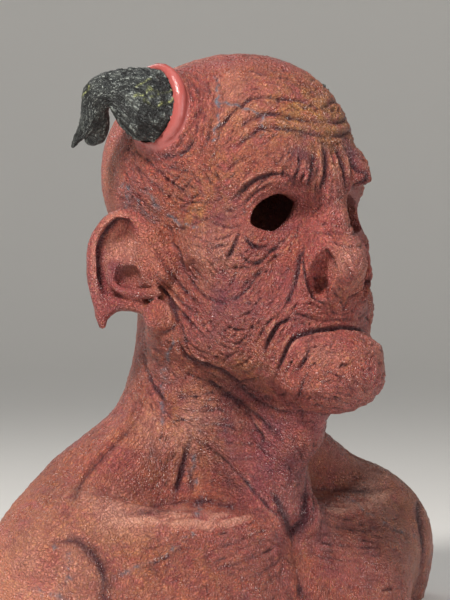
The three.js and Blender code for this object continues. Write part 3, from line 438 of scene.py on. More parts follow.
# The finer creases between them.
CREASES = [
    # forehead
    ([(11, 404), (21, 402), (33, 396)], 0.8, 2.4),
    ([(20, 373), (27, 370), (32, 372)], 1.2, 1.8),
    ([(-10, 355), (-4, 363), (1, 369)], 1.2, 1.8),
    ([(-6, 344), (1, 352), (7, 357)], 1.0, 1.8),
    ([(6, 346), (11, 351), (18, 354), (24, 352)], 1.1, 1.8),
    ([(39, 344), (37, 337), (32, 332)], 1.4, 1.8),
    ([(45, 346), (42, 338), (40, 330), (36, 325)], 1.2, 1.8),
    ([(50, 345), (50, 338), (49, 330), (46, 323), (44, 317)], 2.4, 2.2),
    ([(71, 350), (76, 339), (79, 327), (83, 317)], 2.4, 2.4),
    ([(55, 390), (62, 391), (67, 390)], 1.0, 1.8),
    ([(53, 374), (58, 376), (64, 380)], 1.0, 1.8),
    ([(45, 391), (52, 393), (59, 392)], 0.9, 1.8),
    # brow
    ([(-2, 327), (1, 332), (7, 338), (15, 340)], 1.8, 2.4),
    ([(16, 312), (22, 319), (28, 324), (32, 330)], 2.0, 1.8),
    ([(6, 303), (13, 308), (19, 313), (27, 319), (34, 322)], 1.8, 1.6),
    ([(12, 333), (18, 336), (24, 335)], 1.0, 1.8),
    ([(24, 343), (28, 339), (34, 338)], 1.0, 1.6),
    ([(-4, 303), (1, 301), (8, 303)], 1.6, 1.8),
    # eye
    ([(11, 292), (1, 290), (-8, 292), (-16, 296)], 1.6, 1.8),
    ([(10, 291), (0, 284), (-7, 281), (-16, 283)], 1.8, 1.8),
    ([(9, 289), (5, 281), (1, 271), (-4, 262)], 2.2, 1.8),
    ([(7, 276), (11, 267), (16, 264), (23, 265), (32, 274), (42, 281)], 2.2, 2.0),
    ([(11, 286), (13, 281), (19, 276), (27, 276), (38, 281)], 1.8, 1.8),
    ([(3, 273), (-4, 269), (-11, 262)], 1.2, 1.6),
    ([(6, 281), (-1, 277), (-9, 275)], 1.2, 1.6),
    ([(13, 280), (17, 274), (24, 272)], 1.0, 1.5),
    ([(-1, 261), (7, 261), (16, 261), (24, 265)], 1.2, 1.8),
    ([(-30, 275), (-24, 278), (-17, 274)], 1.0, 1.6),
    # cheek
    ([(26, 262), (18, 253), (13, 246), (5, 240), (-5, 239)], 2.2, 2.2),
    ([(35, 228), (34, 219), (28, 211), (23, 203)], 2.0, 2.0),
    ([(24, 254), (18, 248), (15, 243)], 1.2, 1.6),
    ([(-17, 244), (-10, 237), (-1, 236), (6, 238)], 1.4, 1.8),
    ([(-14, 235), (-8, 229), (-1, 228)], 1.2, 1.6),
    ([(3, 228), (2, 221), (-3, 216)], 1.2, 1.8),
    ([(8, 236), (16, 237), (24, 235), (31, 238)], 1.0, 1.6),
    ([(10, 228), (17, 229), (24, 228)], 1.0, 1.6),
    ([(13, 221), (18, 219), (24, 219)], 1.0, 1.6),
    # nose
    ([(53, 278), (52, 270), (53, 260), (57, 248), (61, 239), (69, 235), (76, 237)], 2.4, 2.0),
    ([(66, 278), (70, 272), (74, 265), (77, 257)], 1.6, 1.8),
    ([(72, 281), (79, 277), (89, 276)], 1.4, 1.6),
    ([(59, 288), (65, 286), (72, 286), (79, 285)], 1.2, 1.6),
    ([(62, 293), (69, 291), (76, 293)], 0.9, 1.6),
    ([(78, 269), (83, 264), (86, 258)], 0.8, 1.6),
    # mouth
    ([(53, 224), (44, 225), (37, 223), (33, 218), (30, 211), (26, 204), (24, 199)], 2.4, 2.0),
    ([(41, 228), (50, 229), (59, 225), (69, 224)], 1.6, 1.8),
    ([(56, 211), (56, 204), (53, 197), (47, 191), (42, 184)], 1.8, 2.0),
    ([(56, 189), (51, 181), (49, 172), (47, 166)], 2.2, 2.2),
    ([(79, 239), (83, 233), (83, 226)], 1.6, 2.0),
    ([(71, 233), (75, 229), (81, 228)], 1.2, 1.6),
    # chin
    ([(77, 195), (81, 193), (85, 194)], 1.6, 1.8),
    ([(65, 205), (70, 202), (76, 204)], 1.0, 1.8),
    ([(72, 177), (77, 179), (82, 176)], 1.6, 2.0),
    ([(61, 184), (66, 181), (72, 183)], 1.2, 1.8),
    ([(62, 172), (69, 169), (77, 168)], 1.4, 2.0),
    ([(86, 186), (91, 182), (93, 175)], 1.4, 2.0),
    ([(94, 200), (99, 193), (100, 185)], 1.4, 2.0),
    ([(80, 212), (87, 210), (93, 205)], 1.2, 1.8),
    ([(51, 191), (59, 193), (63, 198)], 1.2, 1.8),
    # jowl
    ([(30, 179), (32, 172), (37, 169), (42, 175)], 1.8, 1.8),
    ([(-8, 193), (1, 199), (8, 203)], 1.6, 1.8),
    ([(-4, 189), (5, 191), (12, 194), (17, 200)], 1.6, 1.8),
    ([(-29, 196), (-22, 190), (-15, 190), (-8, 189), (-1, 183), (7, 179), (16, 181), (23, 184)], 2.0, 2.0),
    ([(-16, 183), (-11, 178), (-7, 174), (-1, 176)], 2.4, 2.2),
    ([(1, 179), (15, 169), (25, 163), (39, 158), (53, 158)], 2.4, 2.4),
    ([(11, 186), (17, 189), (21, 195)], 1.2, 1.6),
    ([(6, 174), (13, 174), (20, 172)], 1.2, 1.6),
    ([(21, 167), (27, 169), (32, 165)], 1.2, 1.6),
    # temple
    ([(-70, 337), (-61, 328), (-50, 318), (-42, 310), (-32, 303)], 1.6, 1.8),
    ([(-68, 346), (-56, 335), (-44, 324), (-34, 316), (-26, 309)], 1.6, 1.8),
    ([(-54, 340), (-42, 332), (-27, 329), (-20, 320)], 1.6, 1.8),
    ([(-75, 366), (-68, 353), (-58, 345), (-44, 340), (-33, 341), (-25, 350), (-22, 364)], 1.8, 2.6),
    ([(-26, 397), (-20, 382), (-20, 368), (-24, 355)], 1.2, 2.2),
    ([(-13, 385), (-11, 371), (-14, 355), (-18, 341)], 1.2, 2.0),
    ([(-79, 326), (-70, 317), (-59, 306), (-50, 294)], 1.4, 1.8),
    ([(-85, 312), (-75, 312), (-63, 306)], 1.0, 1.8),
    ([(-43, 319), (-37, 324), (-32, 330)], 1.2, 1.5),
    ([(-37, 312), (-32, 317), (-26, 323)], 1.2, 1.5),
    ([(-32, 304), (-26, 310), (-19, 315)], 1.2, 1.5),
    ([(-47, 307), (-42, 313), (-37, 317)], 1.1, 1.5),
    ([(-40, 299), (-34, 304), (-29, 307)], 1.1, 1.5),
    ([(-26, 300), (-20, 303), (-14, 308)], 1.1, 1.5),
    ([(-23, 332), (-16, 325), (-10, 316)], 1.2, 1.8),
    ([(-16, 337), (-11, 330), (-6, 320)], 1.0, 1.8),
    ([(-29, 299), (-20, 295), (-11, 298), (-4, 296)], 1.3, 1.8),
    ([(-49, 290), (-39, 289), (-29, 290)], 1.1, 1.8),
    # ear front
    ([(-59, 267), (-52, 256), (-40, 244), (-32, 234), (-17, 227)], 1.8, 1.8),
    ([(-57, 258), (-46, 244), (-34, 230), (-23, 218), (-11, 207)], 1.8, 1.8),
    ([(-53, 290), (-40, 279), (-34, 270), (-32, 258), (-23, 247), (-14, 238), (1, 238)], 2.0, 2.0),
    ([(-37, 233), (-32, 215), (-29, 201), (-20, 193), (-11, 191)], 1.8, 1.8),
    ([(-56, 280), (-47, 269), (-40, 257), (-30, 244)], 1.4, 1.6),
    ([(-26, 228), (-17, 219), (-10, 210)], 1.0, 1.4),
    # neck
    ([(-62, 194), (-57, 180), (-49, 168), (-40, 161)], 1.6, 2.0),
    ([(-29, 193), (-20, 188), (-11, 183), (-6, 179)], 1.8, 1.8),
    ([(-32, 168), (-20, 169), (-8, 172)], 1.6, 1.8),
    ([(-34, 177), (-23, 177), (-13, 175)], 1.0, 1.6),
    ([(-30, 157), (-20, 157), (-8, 160), (1, 157)], 1.2, 1.8),
    ([(-27, 148), (-15, 147), (-4, 150), (7, 145)], 1.2, 1.8),
    ([(-34, 144), (-11, 129), (8, 113), (25, 94), (39, 82), (46, 63)], 2.0, 2.4),
    ([(-9, 140), (3, 134), (16, 135), (24, 130)], 1.4, 1.8),
    ([(-1, 125), (8, 123), (20, 124)], 1.4, 1.8),
    ([(13, 141), (18, 145), (24, 142), (25, 135), (20, 131)], 1.6, 1.8),
    ([(6, 165), (15, 154), (24, 140), (30, 130)], 1.6, 2.0),
    ([(24, 115), (35, 94), (44, 80), (51, 53), (53, 25)], 2.0, 2.4),
    ([(-56, 204), (-49, 200), (-44, 193)], 1.2, 1.8),
    ([(-65, 201), (-60, 185), (-54, 174)], 1.4, 2.0),
    # breast
    ([(-107, 89), (-75, 90), (-43, 92), (-18, 95), (8, 89), (32, 83)], 1.4, 4.0),
    ([(-27, 140), (-32, 115), (-39, 94)], 1.8, 3.0),
    ([(-29, 120), (-25, 98)], 1.6, 3.0),
    ([(-127, 73), (-107, 78), (-93, 71), (-84, 57), (-84, 38)], 1.2, 4.5),
    ([(-61, 158), (-72, 144), (-91, 126), (-105, 109), (-110, 90)], 1.6, 4.5),
    ([(-15, 63), (13, 70), (35, 77)], 1.2, 2.0),
    ([(-8, 53), (18, 56), (42, 65)], 1.2, 2.0),
    ([(4, 41), (24, 46), (45, 56)], 1.0, 2.0),
    ([(-10, 76), (8, 77), (24, 82)], 1.0, 1.8),
    ([(-4, 32), (16, 34), (44, 45)], 0.8, 2.0),
    ([(62, 138), (63, 117), (65, 94)], 2.4, 3.2),
    ([(48, 117), (53, 99), (59, 82)], 1.4, 2.4),
    ([(-74, 52), (-55, 58), (-37, 64), (-23, 72)], 0.7, 2.4),
]

# Sets of fine wrinkles between the creases. Each has the lowest and the highest place of its
# patch, how many it has and how far apart, the least and most of their lengths, depths and widths,
# and how far they turn from the folds near them, in radians.
HEAD_PATCH = (-86.0, 160.0), (104.0, 404.0)
CHEST_PATCH = (-60.0, 20.0), (66.0, 165.0)
ARM_PATCH = (-160.0, 0.0), (150.0, 110.0)
WRINKLE_SETS = [
    (*HEAD_PATCH, 700, 3.8, (8, 30), (0.6, 1.35), (0.9, 1.2), 0.0),
    (*HEAD_PATCH, 560, 4.0, (5, 11), (0.45, 1.0), (0.9, 1.2), 1.2),
    (*CHEST_PATCH, 360, 4.0, (8, 26), (0.5, 1.1), (1.0, 1.3), 0.0),
    (*CHEST_PATCH, 200, 5.5, (6, 12), (0.3, 0.7), (1.1, 1.4), 1.2),
    (*ARM_PATCH, 150, 9.0, (8, 20), (0.2, 0.4), (1.4, 1.8), 0.8),
]
WRINKLE_STEP = 3  # mm between the points of a wrinkle

# Painted places, as (x, y, z), radius and strength. x is taken from either side of the face.
OCHRE_SPOTS = [
    ((20, -90, 372), 34, 0.9), ((0, -88, 356), 26, 0.7), ((52, -58, 322), 18, 1.0),
    ((66, -42, 300), 20, 0.8), ((48, -52, 358), 22, 0.6), ((60, -52, 262), 24, 0.5),
    ((46, -60, 192), 26, 0.6), ((52, -20, 150), 34, 0.6), ((60, -6, 232), 20, 0.5),
    ((120, -20, 60), 50, 0.5), ((165, 0, 60), 44, 0.7), ((90, -60, 20), 40, 0.35),
    ((70, 20, 120), 40, 0.3), ((38, -84, 205), 14, 0.5), ((0, 60, 380), 50, 0.3),
]
BLUSH_SPOTS = [
    ((0, -124, 262), 22, 0.9), ((24, -104, 262), 18, 0.6), ((0, -118, 205), 34, 0.7),
    ((76, 0, 374), 44, 0.8), ((98, 24, 258), 40, 0.45), ((46, -78, 288), 16, 0.5),
    ((0, -118, 180), 40, 0.35), ((30, -84, 240), 20, 0.4), ((80, -66, 20), 46, 0.5),
    ((0, 0, 410), 60, 0.5), ((100, -20, 100), 40, 0.3),
]
# A plum wash in the hollows, placed also as painted shade: under the brow, round the eye, in the cheek's
# hollows, beside the nose, under the chin and down the front of the neck and breast.
PLUM_AND_SHADE_SPOTS = [
    ((24, -98, 340), 18, 0.9), ((36, -84, 300), 22, 0.5), ((40, -66, 280), 18, 0.5),
    ((62, -32, 256), 22, 0.6), ((30, -92, 252), 16, 0.6), ((40, -50, 165), 30, 0.7),
    ((0, -80, 160), 34, 0.7), ((56, -44, 118), 26, 0.6), ((100, -30, 118), 30, 0.5),
    ((20, -70, 90), 26, 0.4), ((88, 12, 240), 20, 0.4), ((100, 18, 255), 16, 0.7),
    ((34, -66, 60), 30, 0.3), ((70, 10, 190), 30, 0.3), ((30, -100, 222), 16, 0.4),
    ((70, -72, 235), 28, 0.85), ((24, -57, 136), 30, 0.7), ((8, -70, 115), 24, 0.5),
    ((68, -60, 297), 15, 0.6),
]
# Painted highlights: a pale pink laid where the skin catches the most light, in the ear's bowl, under the
# eye, on the forehead, the nose, the lip and chin, the neck, the collar bone and the shoulder.
PAINTED_HIGHLIGHT_SPOTS = [
    ((192, -20, 59), 34, 0.6), ((144, -30, 96), 22, 0.8), ((116, -38, 92), 20, 0.8),
    ((86, -34, 93), 14, 0.5), ((71, -7, 143), 22, 0.7), ((56, -20, 152), 20, 0.6),
    ((76, -62, 276), 17, 0.8), ((88, 20, 272), 20, 0.8), ((10, -127, 268), 14, 0.5),
    ((28, -124, 205), 18, 0.35), ((52, -56, 382), 26, 0.35),
]
SPOTS = {"ochre": OCHRE_SPOTS, "blush": BLUSH_SPOTS, "pale": PAINTED_HIGHLIGHT_SPOTS, "plum": PLUM_AND_SHADE_SPOTS}

# Veins, and strokes of lime dry-brushed on the horn, drawn as the folds are.
VEINS = [
    [(-8, 397), (-7, 389), (-8, 381), (-5, 378), (3, 377), (12, 374), (22, 370), (25, 362), (24, 354)],
    [(-8, 381), (-6, 370), (-8, 360), (-11, 350)],
    [(-78, 322), (-72, 318), (-68, 310), (-64, 305), (-58, 300), (-50, 292)],
    [(-72, 318), (-74, 306), (-80, 296), (-83, 286)],
    [(-60, 318), (-52, 306), (-44, 300), (-38, 294), (-30, 292), (-22, 290)],
    [(-50, 292), (-44, 284), (-40, 276)],
    [(-40, 212), (-41, 203), (-44, 195), (-47, 186), (-47, 172), (-48, 158), (-46, 146)],
    [(-20, 90), (-24, 78), (-34, 68), (-48, 60), (-66, 56), (-78, 50)],
    [(-24, 128), (-26, 112), (-20, 98), (-20, 90)],
    [(-118, 72), (-110, 66), (-108, 54), (-112, 44)],
    [(-130, 44), (-116, 40), (-104, 36), (-96, 28)],
    [(128, 96), (134, 84), (142, 72), (146, 58), (150, 44), (146, 30)],
    [(146, 58), (140, 46), (138, 34), (132, 22)],
    [(112, 70), (120, 64), (128, 66), (134, 72)],
    [(78, 92), (86, 80), (94, 70), (98, 60)],
]
VEIN_WIDTH = 1.0
LIME_STROKES = [
    [(-64, 389), (-60, 393), (-55, 395)],
    [(-67, 382), (-61, 384), (-55, 387)],
    [(-55, 382), (-46, 385), (-39, 388)],
    [(-55, 389), (-49, 385)],
    [(-51, 375), (-45, 378), (-39, 381)],
    [(-59, 381), (-54, 375)],
    [(-103, 385), (-100, 391)],
]
LIME_WIDTH = 0.8

# The bark's grain: how thick it takes the horn to be, which way it moves on along the horn, and
# how much it is squeezed that way, so that its ridges come out long.
GRAIN_RADIUS = 14
GRAIN_DRIFT = np.array([1.0, 0.6, 0.3])
GRAIN_SQUEEZE = 0.16
DRAWN_OUT = (0.3, 1.0, 1.0)  # squeezes the space of the skin's creases in the same way

# Working the sculpt.


def sculpted(forms, points):
    """Distance of the blended forms at each point, from the forms near its block alone."""
    x, y, z = np.abs(points[:, 0]), points[:, 1], points[:, 2]
    cell = np.floor(np.column_stack([x, y, z]) / BLOCK).astype(np.int64)
    cell_x, cell_y, cell_z = (cell + BLOCK_SPAN // 4).T
    key = (cell_x * BLOCK_SPAN + cell_y) * BLOCK_SPAN + cell_z
    order = np.argsort(key, kind="stable")
    edges = np.flatnonzero(np.diff(key[order])) + 1
    centres = np.array([f.centre for f in forms])
    reaches = np.array([f.reach for f in forms])
    half_diagonal = BLOCK * math.sqrt(3) / 2
    out = np.full(len(points), REACH)
    for rows in np.split(order, edges):
        middle = (cell[rows[0]] + 0.5) * BLOCK
        near = np.linalg.norm(centres - middle, axis=1) - reaches - half_diagonal < REACH
        d = None
        bx, by, bz = x[rows], y[rows], z[rows]
        for i in np.flatnonzero(near):
            form = forms[i]
            value = form.distance(bx, by, bz)
            if form.is_cut:
                d = -value if d is None else soft_max(d, -value, form.blend)
            else:
                d = value if d is None else soft_min(d, value, form.blend)
        if d is not None:
            out[rows] = np.minimum(d, REACH)
    return out


def slopes(field, points, step=0.5):
    """The direction in which the field grows, from four samples at the corners of a small solid."""
    corners = np.array([[1, 1, 1], [1, -1, -1], [-1, 1, -1], [-1, -1, 1]])
    total = sum(field(points + step * c)[:, None] * c for c in corners)
    return total / (np.linalg.norm(total, axis=1, keepdims=True) + 1e-12)


def horn_distance(points):
    """Distance of the horn on either side, cut square at its root."""
    folded = np.column_stack([np.abs(points[:, 0]), points[:, 1:]])
    behind = (folded - HORN_START) @ HORN_DIR
    return np.maximum(sculpted(HORN_FORMS, folded), -behind)


def skin_shell(points, wall):
    """The mask's wall: between the skin without its folds and the room inside, open at the eyes."""
    smooth = sculpted(OUTER_FORMS, points)
    room = np.maximum(sculpted(CORE_FORMS, points), smooth + wall)
    room = np.maximum(room, wall - sculpted(SOCKET_FORMS, points))
    shell = soft_max(smooth, -room, 1)
    shell = soft_max(shell, -sculpted(EYE_FORMS, points), 1)
    shell = np.maximum(shell, SOCKET_GAP - horn_distance(points))
    return np.maximum(shell, -points[:, 2])


# The corners of a cell, its edges, and its faces with their corners in order.
CORNERS = np.array([[a, b, c] for a in (0, 1) for b in (0, 1) for c in (0, 1)])
CELL_EDGES = [(a, b) for a in range(8) for b in range(a + 1, 8) if abs(CORNERS[a] - CORNERS[b]).sum() == 1]
CELL_FACES = [
    [i for i in order if CORNERS[i][axis] == side]
    for axis in range(3) for side in (0, 1)
    for order in ([0, 1, 3, 2, 4, 5, 7, 6] if axis == 0 else [0, 1, 5, 4, 2, 3, 7, 6] if axis == 1
                  else [0, 2, 6, 4, 1, 3, 7, 5],)
]


def surface_net(field, low, high, cell, levels=3, slack=1.5):
    """Points and quads of the field's zero surface: one point in each cell that it crosses."""
    low, high = np.array(low, float), np.array(high, float)
    size = cell * 2 ** levels
    count = np.ceil((high - low) / size).astype(int)
    cells = np.stack(np.meshgrid(*map(np.arange, count), indexing="ij"), -1).reshape(-1, 3)
    for level in range(levels + 1):
        value = field(low + (cells + 0.5) * size)
        cells = cells[np.abs(value) < size * math.sqrt(3) / 2 * slack]
        if level < levels:
            size /= 2
            cells = (cells[:, None] * 2 + CORNERS[None]).reshape(-1, 3)

    def key(c):
        c = c.astype(np.int64) + GRID_SPARE
        return (c[..., 0] * GRID_SPAN + c[..., 1]) * GRID_SPAN + c[..., 2]

    keys, index = np.unique(key(cells[:, None] + CORNERS[None]).ravel(), return_inverse=True)
    index = index.reshape(-1, 8)
    nodes = np.stack([keys // GRID_SPAN ** 2, keys // GRID_SPAN % GRID_SPAN, keys % GRID_SPAN], -1)
    nodes -= GRID_SPARE
    values = field(low + nodes * cell)
    # Where a face of the grid has its corners in, out, in, out, the weaker outside one goes in.
    for _ in range(12):
        repaired = 0
        for a, b, c, d in CELL_FACES:
            v = values[index[:, [a, b, c, d]]]
            inside = v < 0
            bad = (inside[:, 0] == inside[:, 2]) & (inside[:, 1] == inside[:, 3])
            bad &= inside[:, 0] != inside[:, 1]
            rows = np.flatnonzero(bad)
            if not len(rows):
                continue
            outside = np.where(inside[rows], np.inf, v[rows])
            pick = outside.argmin(1)
            values[index[rows][np.arange(len(rows)), np.array([a, b, c, d])[pick]]] = -0.05 * cell
            repaired += len(rows)
        if not repaired:
            break
    corner_values = values[index]
    inside = corner_values < 0
    crossed = inside.any(1) & ~inside.all(1)
    cells, corner_values, inside = cells[crossed], corner_values[crossed], inside[crossed]
    total = np.zeros((len(cells), 3))
    hits = np.zeros(len(cells))
    for a, b in CELL_EDGES:
        split = inside[:, a] != inside[:, b]
        span = np.where(split, corner_values[:, a] - corner_values[:, b], 1)
        share = np.where(split, corner_values[:, a] / span, 0)[:, None]
        total += np.where(split[:, None], CORNERS[a] + share * (CORNERS[b] - CORNERS[a]), 0)
        hits += split
    points = low + (cells + total / hits[:, None]) * cell
    cell_keys = key(cells)
    order = np.argsort(cell_keys)

    def find(c):
        k = key(c)
        place = np.minimum(np.searchsorted(cell_keys[order], k), len(order) - 1)
        return np.where(cell_keys[order][place] == k, order[place], -1)

    quads = []
    for axis in range(3):
        step = np.eye(3, dtype=int)
        du, dv = step[(axis + 1) % 3], step[(axis + 2) % 3]
        far = {0: 4, 1: 2, 2: 1}[axis]
        hit = inside[:, 0] != inside[:, far]
        base = cells[hit]
        quad = np.stack([find(base), find(base - du), find(base - du - dv), find(base - dv)], -1)
        flip = ~inside[hit, 0]
        quad[flip] = quad[flip][:, ::-1]
        quads.append(quad[(quad >= 0).all(1)])
    return points, np.concatenate(quads)


def half_net(field, low, high, cell):
    """A net of the half at +X, whose first layer of cells straddles x = 0, and which of its points
    lie in that plane."""
    points, quads = surface_net(field, (-cell / 2, *low), high, cell)
    middle = points[:, 0] < cell / 2
    points[middle, 0] = 0
    return points, quads, middle


def with_mirror(points, quads, middle):
    """The half net joined to its mirror."""
    twin = np.arange(len(points))
    twin[~middle] = len(points) + np.arange((~middle).sum())
    mirrored = points[~middle] * (-1, 1, 1)
    return np.vstack([points, mirrored]), np.vstack([quads, twin[quads][:, ::-1]])


# Folds and wrinkles.


def three_quarter(points):
    """Where points lie as seen from the mask's right front: across, toward, height."""
    side = np.abs(points[:, 0])
    root = math.sqrt(0.5)
    return -root * (side + points[:, 1]), root * (side - points[:, 1]), points[:, 2]


def smooth_drawn(line):
    """A drawn line with its corners rounded."""
    line = np.array(line, float)
    for _ in range(2 if len(line) < 8 else 0):
        inner = np.column_stack([line[:-1] * 0.75 + line[1:] * 0.25, line[:-1] * 0.25 + line[1:] * 0.75])
        line = np.vstack([line[:1], inner.reshape(-1, 2)[1:-1], line[-1:]])
    return line


def nearest_on(line, across, height):
    """Distance to a drawn line, and the place along it from 0 to 1."""
    best = np.full(len(across), np.inf)
    place = np.zeros(len(across))
    last = len(line) - 1
    for i in range(last):
        du, dz = line[i + 1] - line[i]
        pu, pz = across - line[i][0], height - line[i][1]
        share = np.clip((pu * du + pz * dz) / (du * du + dz * dz), 0, 1)
        off = np.hypot(pu - share * du, pz - share * dz)
        nearer = off < best
        best[nearer] = off[nearer]
        place[nearer] = (i + share[nearer]) / last
    return best, place


def drawn_depth(strokes, across, height):
    """Summed depth of the strokes at places of the three-quarter view: each a crease with a sharp
    bottom between two soft banks."""
    order = np.argsort(across)
    ranked = across[order]
    total = np.zeros(len(across))
    for line, depth, width in strokes:
        line = smooth_drawn(line)
        spare = FOLD_SPAN * width
        low, high = line.min(0) - spare, line.max(0) + spare
        rows = order[np.searchsorted(ranked, low[0]):np.searchsorted(ranked, high[0])]
        rows = rows[(height[rows] > low[1]) & (height[rows] < high[1])]
        if not len(rows):
            continue
        off, place = nearest_on(line, across[rows], height[rows])
        # A sharp crease in a soft valley, less the swell of its banks, and shallow at its ends.
        q = off / width
        taper = np.minimum(1, np.minimum(place, 1 - place) * 4 + 0.2)
        rise = FOLD_SWELL * np.exp(-((q - 1.6) / 0.8) ** 2)
        total[rows] += depth * taper * (0.45 * np.exp(-q * q) + 0.55 * np.exp(-3.2 * q) - rise)
    return total


def flow_guides(strokes, spacing=4.0):
    """Places on the drawn folds, and the cosine and sine of the fold's doubled angle there, times
    its depth. The angle is doubled so that a line drawn either way counts the same."""
    rows = []
    for line, depth, _ in strokes:
        pull = abs(depth)
        for a, b in zip(line, line[1:]):
            a, b = np.array(a, float), np.array(b, float)
            length = np.linalg.norm(b - a)
            angle = 2 * math.atan2(b[1] - a[1], b[0] - a[0])
            for t in (np.arange(max(int(length / spacing), 1)) + 0.5) * spacing / max(length, spacing):
                rows.append((*(a + (b - a) * min(t, 1)), math.cos(angle) * pull, math.sin(angle) * pull))
    return np.array(rows)


def flow_field(guides, across, height, cell=4.0):
    """Which way the skin is drawn at each place, as the cosine and sine of the doubled angle, read
    from a grid over the drawing; it fades where no fold is near."""
    low = np.array([-220.0, -12.0])
    count = np.array([100, 114])
    spread = 260  # square millimetres
    u, z = np.meshgrid(*(low[i] + np.arange(count[i]) * cell for i in (0, 1)), indexing="ij")
    spots = np.column_stack([u.ravel(), z.ravel()])
    flow = np.zeros((len(spots), 2))
    for begin in range(0, len(spots), 2000):
        rows = slice(begin, begin + 2000)
        off = ((spots[rows, None] - guides[None, :, :2]) ** 2).sum(2)
        weight = np.exp(-off / spread)
        total = (weight[:, :, None] * guides[None, :, 2:]).sum(1)
        flow[rows] = total / (np.linalg.norm(total, axis=1, keepdims=True) + 0.15)
    flow = flow.reshape(*count, 2)
    at = (np.column_stack([across, height]) - low) / cell
    base = np.clip(np.floor(at).astype(int), 0, count - 2)
    share = np.clip(at - base, 0, 1)
    i, j = base.T
    fu, fz = share[:, :1], share[:, 1:]
    return ((flow[i, j] * (1 - fu) + flow[i + 1, j] * fu) * (1 - fz)
            + (flow[i, j + 1] * (1 - fu) + flow[i + 1, j + 1] * fu) * fz)


def flowing_wrinkles(random, guides, low, high, count, spacing, lengths, depths, widths, turn):
    """Short wrinkles that run beside the drawn folds, or across them if turned."""
    low, high = np.array(low), np.array(high)
    spread = 220  # square millimetres
    placed = []
    strokes = []
    for _ in range(count * 12):
        if len(strokes) == count:
            break
        spot = low + (high - low) * random.random(2)
        if placed and (np.hypot(*(np.array(placed) - spot).T) < spacing).any():
            continue
        line = [spot]
        length = lengths[0] + (lengths[1] - lengths[0]) * random.random() ** 2
        bend = random.normal(0, 0.05)
        tilt = turn + random.normal(0, 0.18)
        heading = None
        for _step in range(max(int(length / WRINKLE_STEP), 2)):
            offset = guides[:, :2] - line[-1]
            weight = np.exp(-(offset ** 2).sum(1) / spread) + 1e-6
            angle = math.atan2((weight * guides[:, 3]).sum(), (weight * guides[:, 2]).sum()) / 2
            angle += tilt
            step = np.array([math.cos(angle), math.sin(angle)])
            if heading is not None and step @ heading < 0:
                step = -step
            tilt += bend
            heading = step
            line.append(line[-1] + step * WRINKLE_STEP + random.normal(0, 0.35, 2))
        placed.append(line[len(line) // 2])
        depth = depths[0] + (depths[1] - depths[0]) * random.random()
        width = widths[0] + (widths[1] - widths[0]) * random.random()
        strokes.append((line, depth, width))
    return strokes


def wrinkle_strokes(seed):
    """All the fine wrinkles, as strokes like those of the folds."""
    random = np.random.default_rng(seed)
    guides = flow_guides(FOLDS + CREASES)
    return [stroke for row in WRINKLE_SETS for stroke in flowing_wrinkles(random, guides, *row)]


def spot_weight(spots, points):
    """How strongly each point is painted by the spots, 0 to 1."""
    side = np.column_stack([np.abs(points[:, 0]), points[:, 1:]])
    left = np.ones(len(points))
    for centre, radius, strength in spots:
        off = ((side - centre) ** 2).sum(1) / (radius * radius)
        left *= 1 - strength * np.exp(-off)
    return 1 - left


def brushed_lines(lines, width, points):
    """1 on drawn lines that wander a little, 0 away from them."""
    across, toward, height = three_quarter(points)
    nearest = np.full(len(points), 99.0)
    for line in lines:
        line = np.array(line, float)
        rows = np.flatnonzero(
            (across > line[:, 0].min() - 8) & (across < line[:, 0].max() + 8)
            & (height > line[:, 1].min() - 8) & (height < line[:, 1].max() + 8) & (toward > 0)
        )
        if len(rows):
            wander = 1.3 * np.sin(height[rows] * 0.55 + points[rows, 0] * 0.2)
            off, _ = nearest_on(line, across[rows] + wander, height[rows] + 0.8 * np.sin(across[rows] * 0.7))
            nearest[rows] = np.minimum(nearest[rows], off)
    return np.exp(-(nearest / width) ** 2)


# Meshes.


def mesh_object(name, points_mm, faces):
    """A mesh object at the origin, its points moved from the sculpt to their place in metres."""
    points = (points_mm + (0, CENTRE_Y, 0)) * MM
    mesh = bpy.data.meshes.new(name)
    mesh.vertices.add(len(points))
    mesh.vertices.foreach_set("co", points.astype(np.float32).ravel())
    faces = np.asarray(faces)
    mesh.loops.add(faces.size)
    mesh.loops.foreach_set("vertex_index", faces.astype(np.int32).ravel())
    mesh.polygons.add(len(faces))
    mesh.polygons.foreach_set("loop_start", (np.arange(len(faces)) * faces.shape[1]).astype(np.int32))
    mesh.update(calc_edges=True)
    mesh.validate()
    mesh.shade_smooth()
    piece = bpy.data.objects.new(name, mesh)
    bpy.context.scene.collection.objects.link(piece)
    return piece


def write_attribute(mesh, name, values, kind="FLOAT"):
    layer = mesh.attributes.get(name) or mesh.attributes.new(name, kind, "POINT")
    key = "vector" if kind == "FLOAT_VECTOR" else "value"
    layer.data.foreach_set(key, np.asarray(values, np.float32).ravel())


def sculpt_points(mesh):
    """A mesh's points in the sculpt's millimetres."""
    points = np.zeros(len(mesh.vertices) * 3, np.float32)
    mesh.vertices.foreach_get("co", points)
    return points.reshape(-1, 3).astype(float) / MM - (0, CENTRE_Y, 0)


def applied(piece):
    """The piece with its modifiers turned into a plain mesh."""
    graph = bpy.context.evaluated_depsgraph_get()
    mesh = bpy.data.meshes.new_from_object(piece.evaluated_get(graph), preserve_all_data_layers=True,
                                           depsgraph=graph)
    old = piece.data
    piece.modifiers.clear()
    piece.data = mesh
    mesh.name = piece.name
    bpy.data.meshes.remove(old)
    return piece


def add_node(tree, kind, inputs=(), output=0, **settings):
    """Adds a node with its settings, gives each input a value or another node's output, and
    returns the output asked for."""
    node = tree.nodes.new(kind)
    for name, value in settings.items():
        setattr(node, name, value)
    for name, value in dict(inputs).items():
        if isinstance(value, bpy.types.NodeSocket):
            tree.links.new(value, node.inputs[name])
        else:
            node.inputs[name].default_value = value
    return node.outputs[output] if node.outputs else node


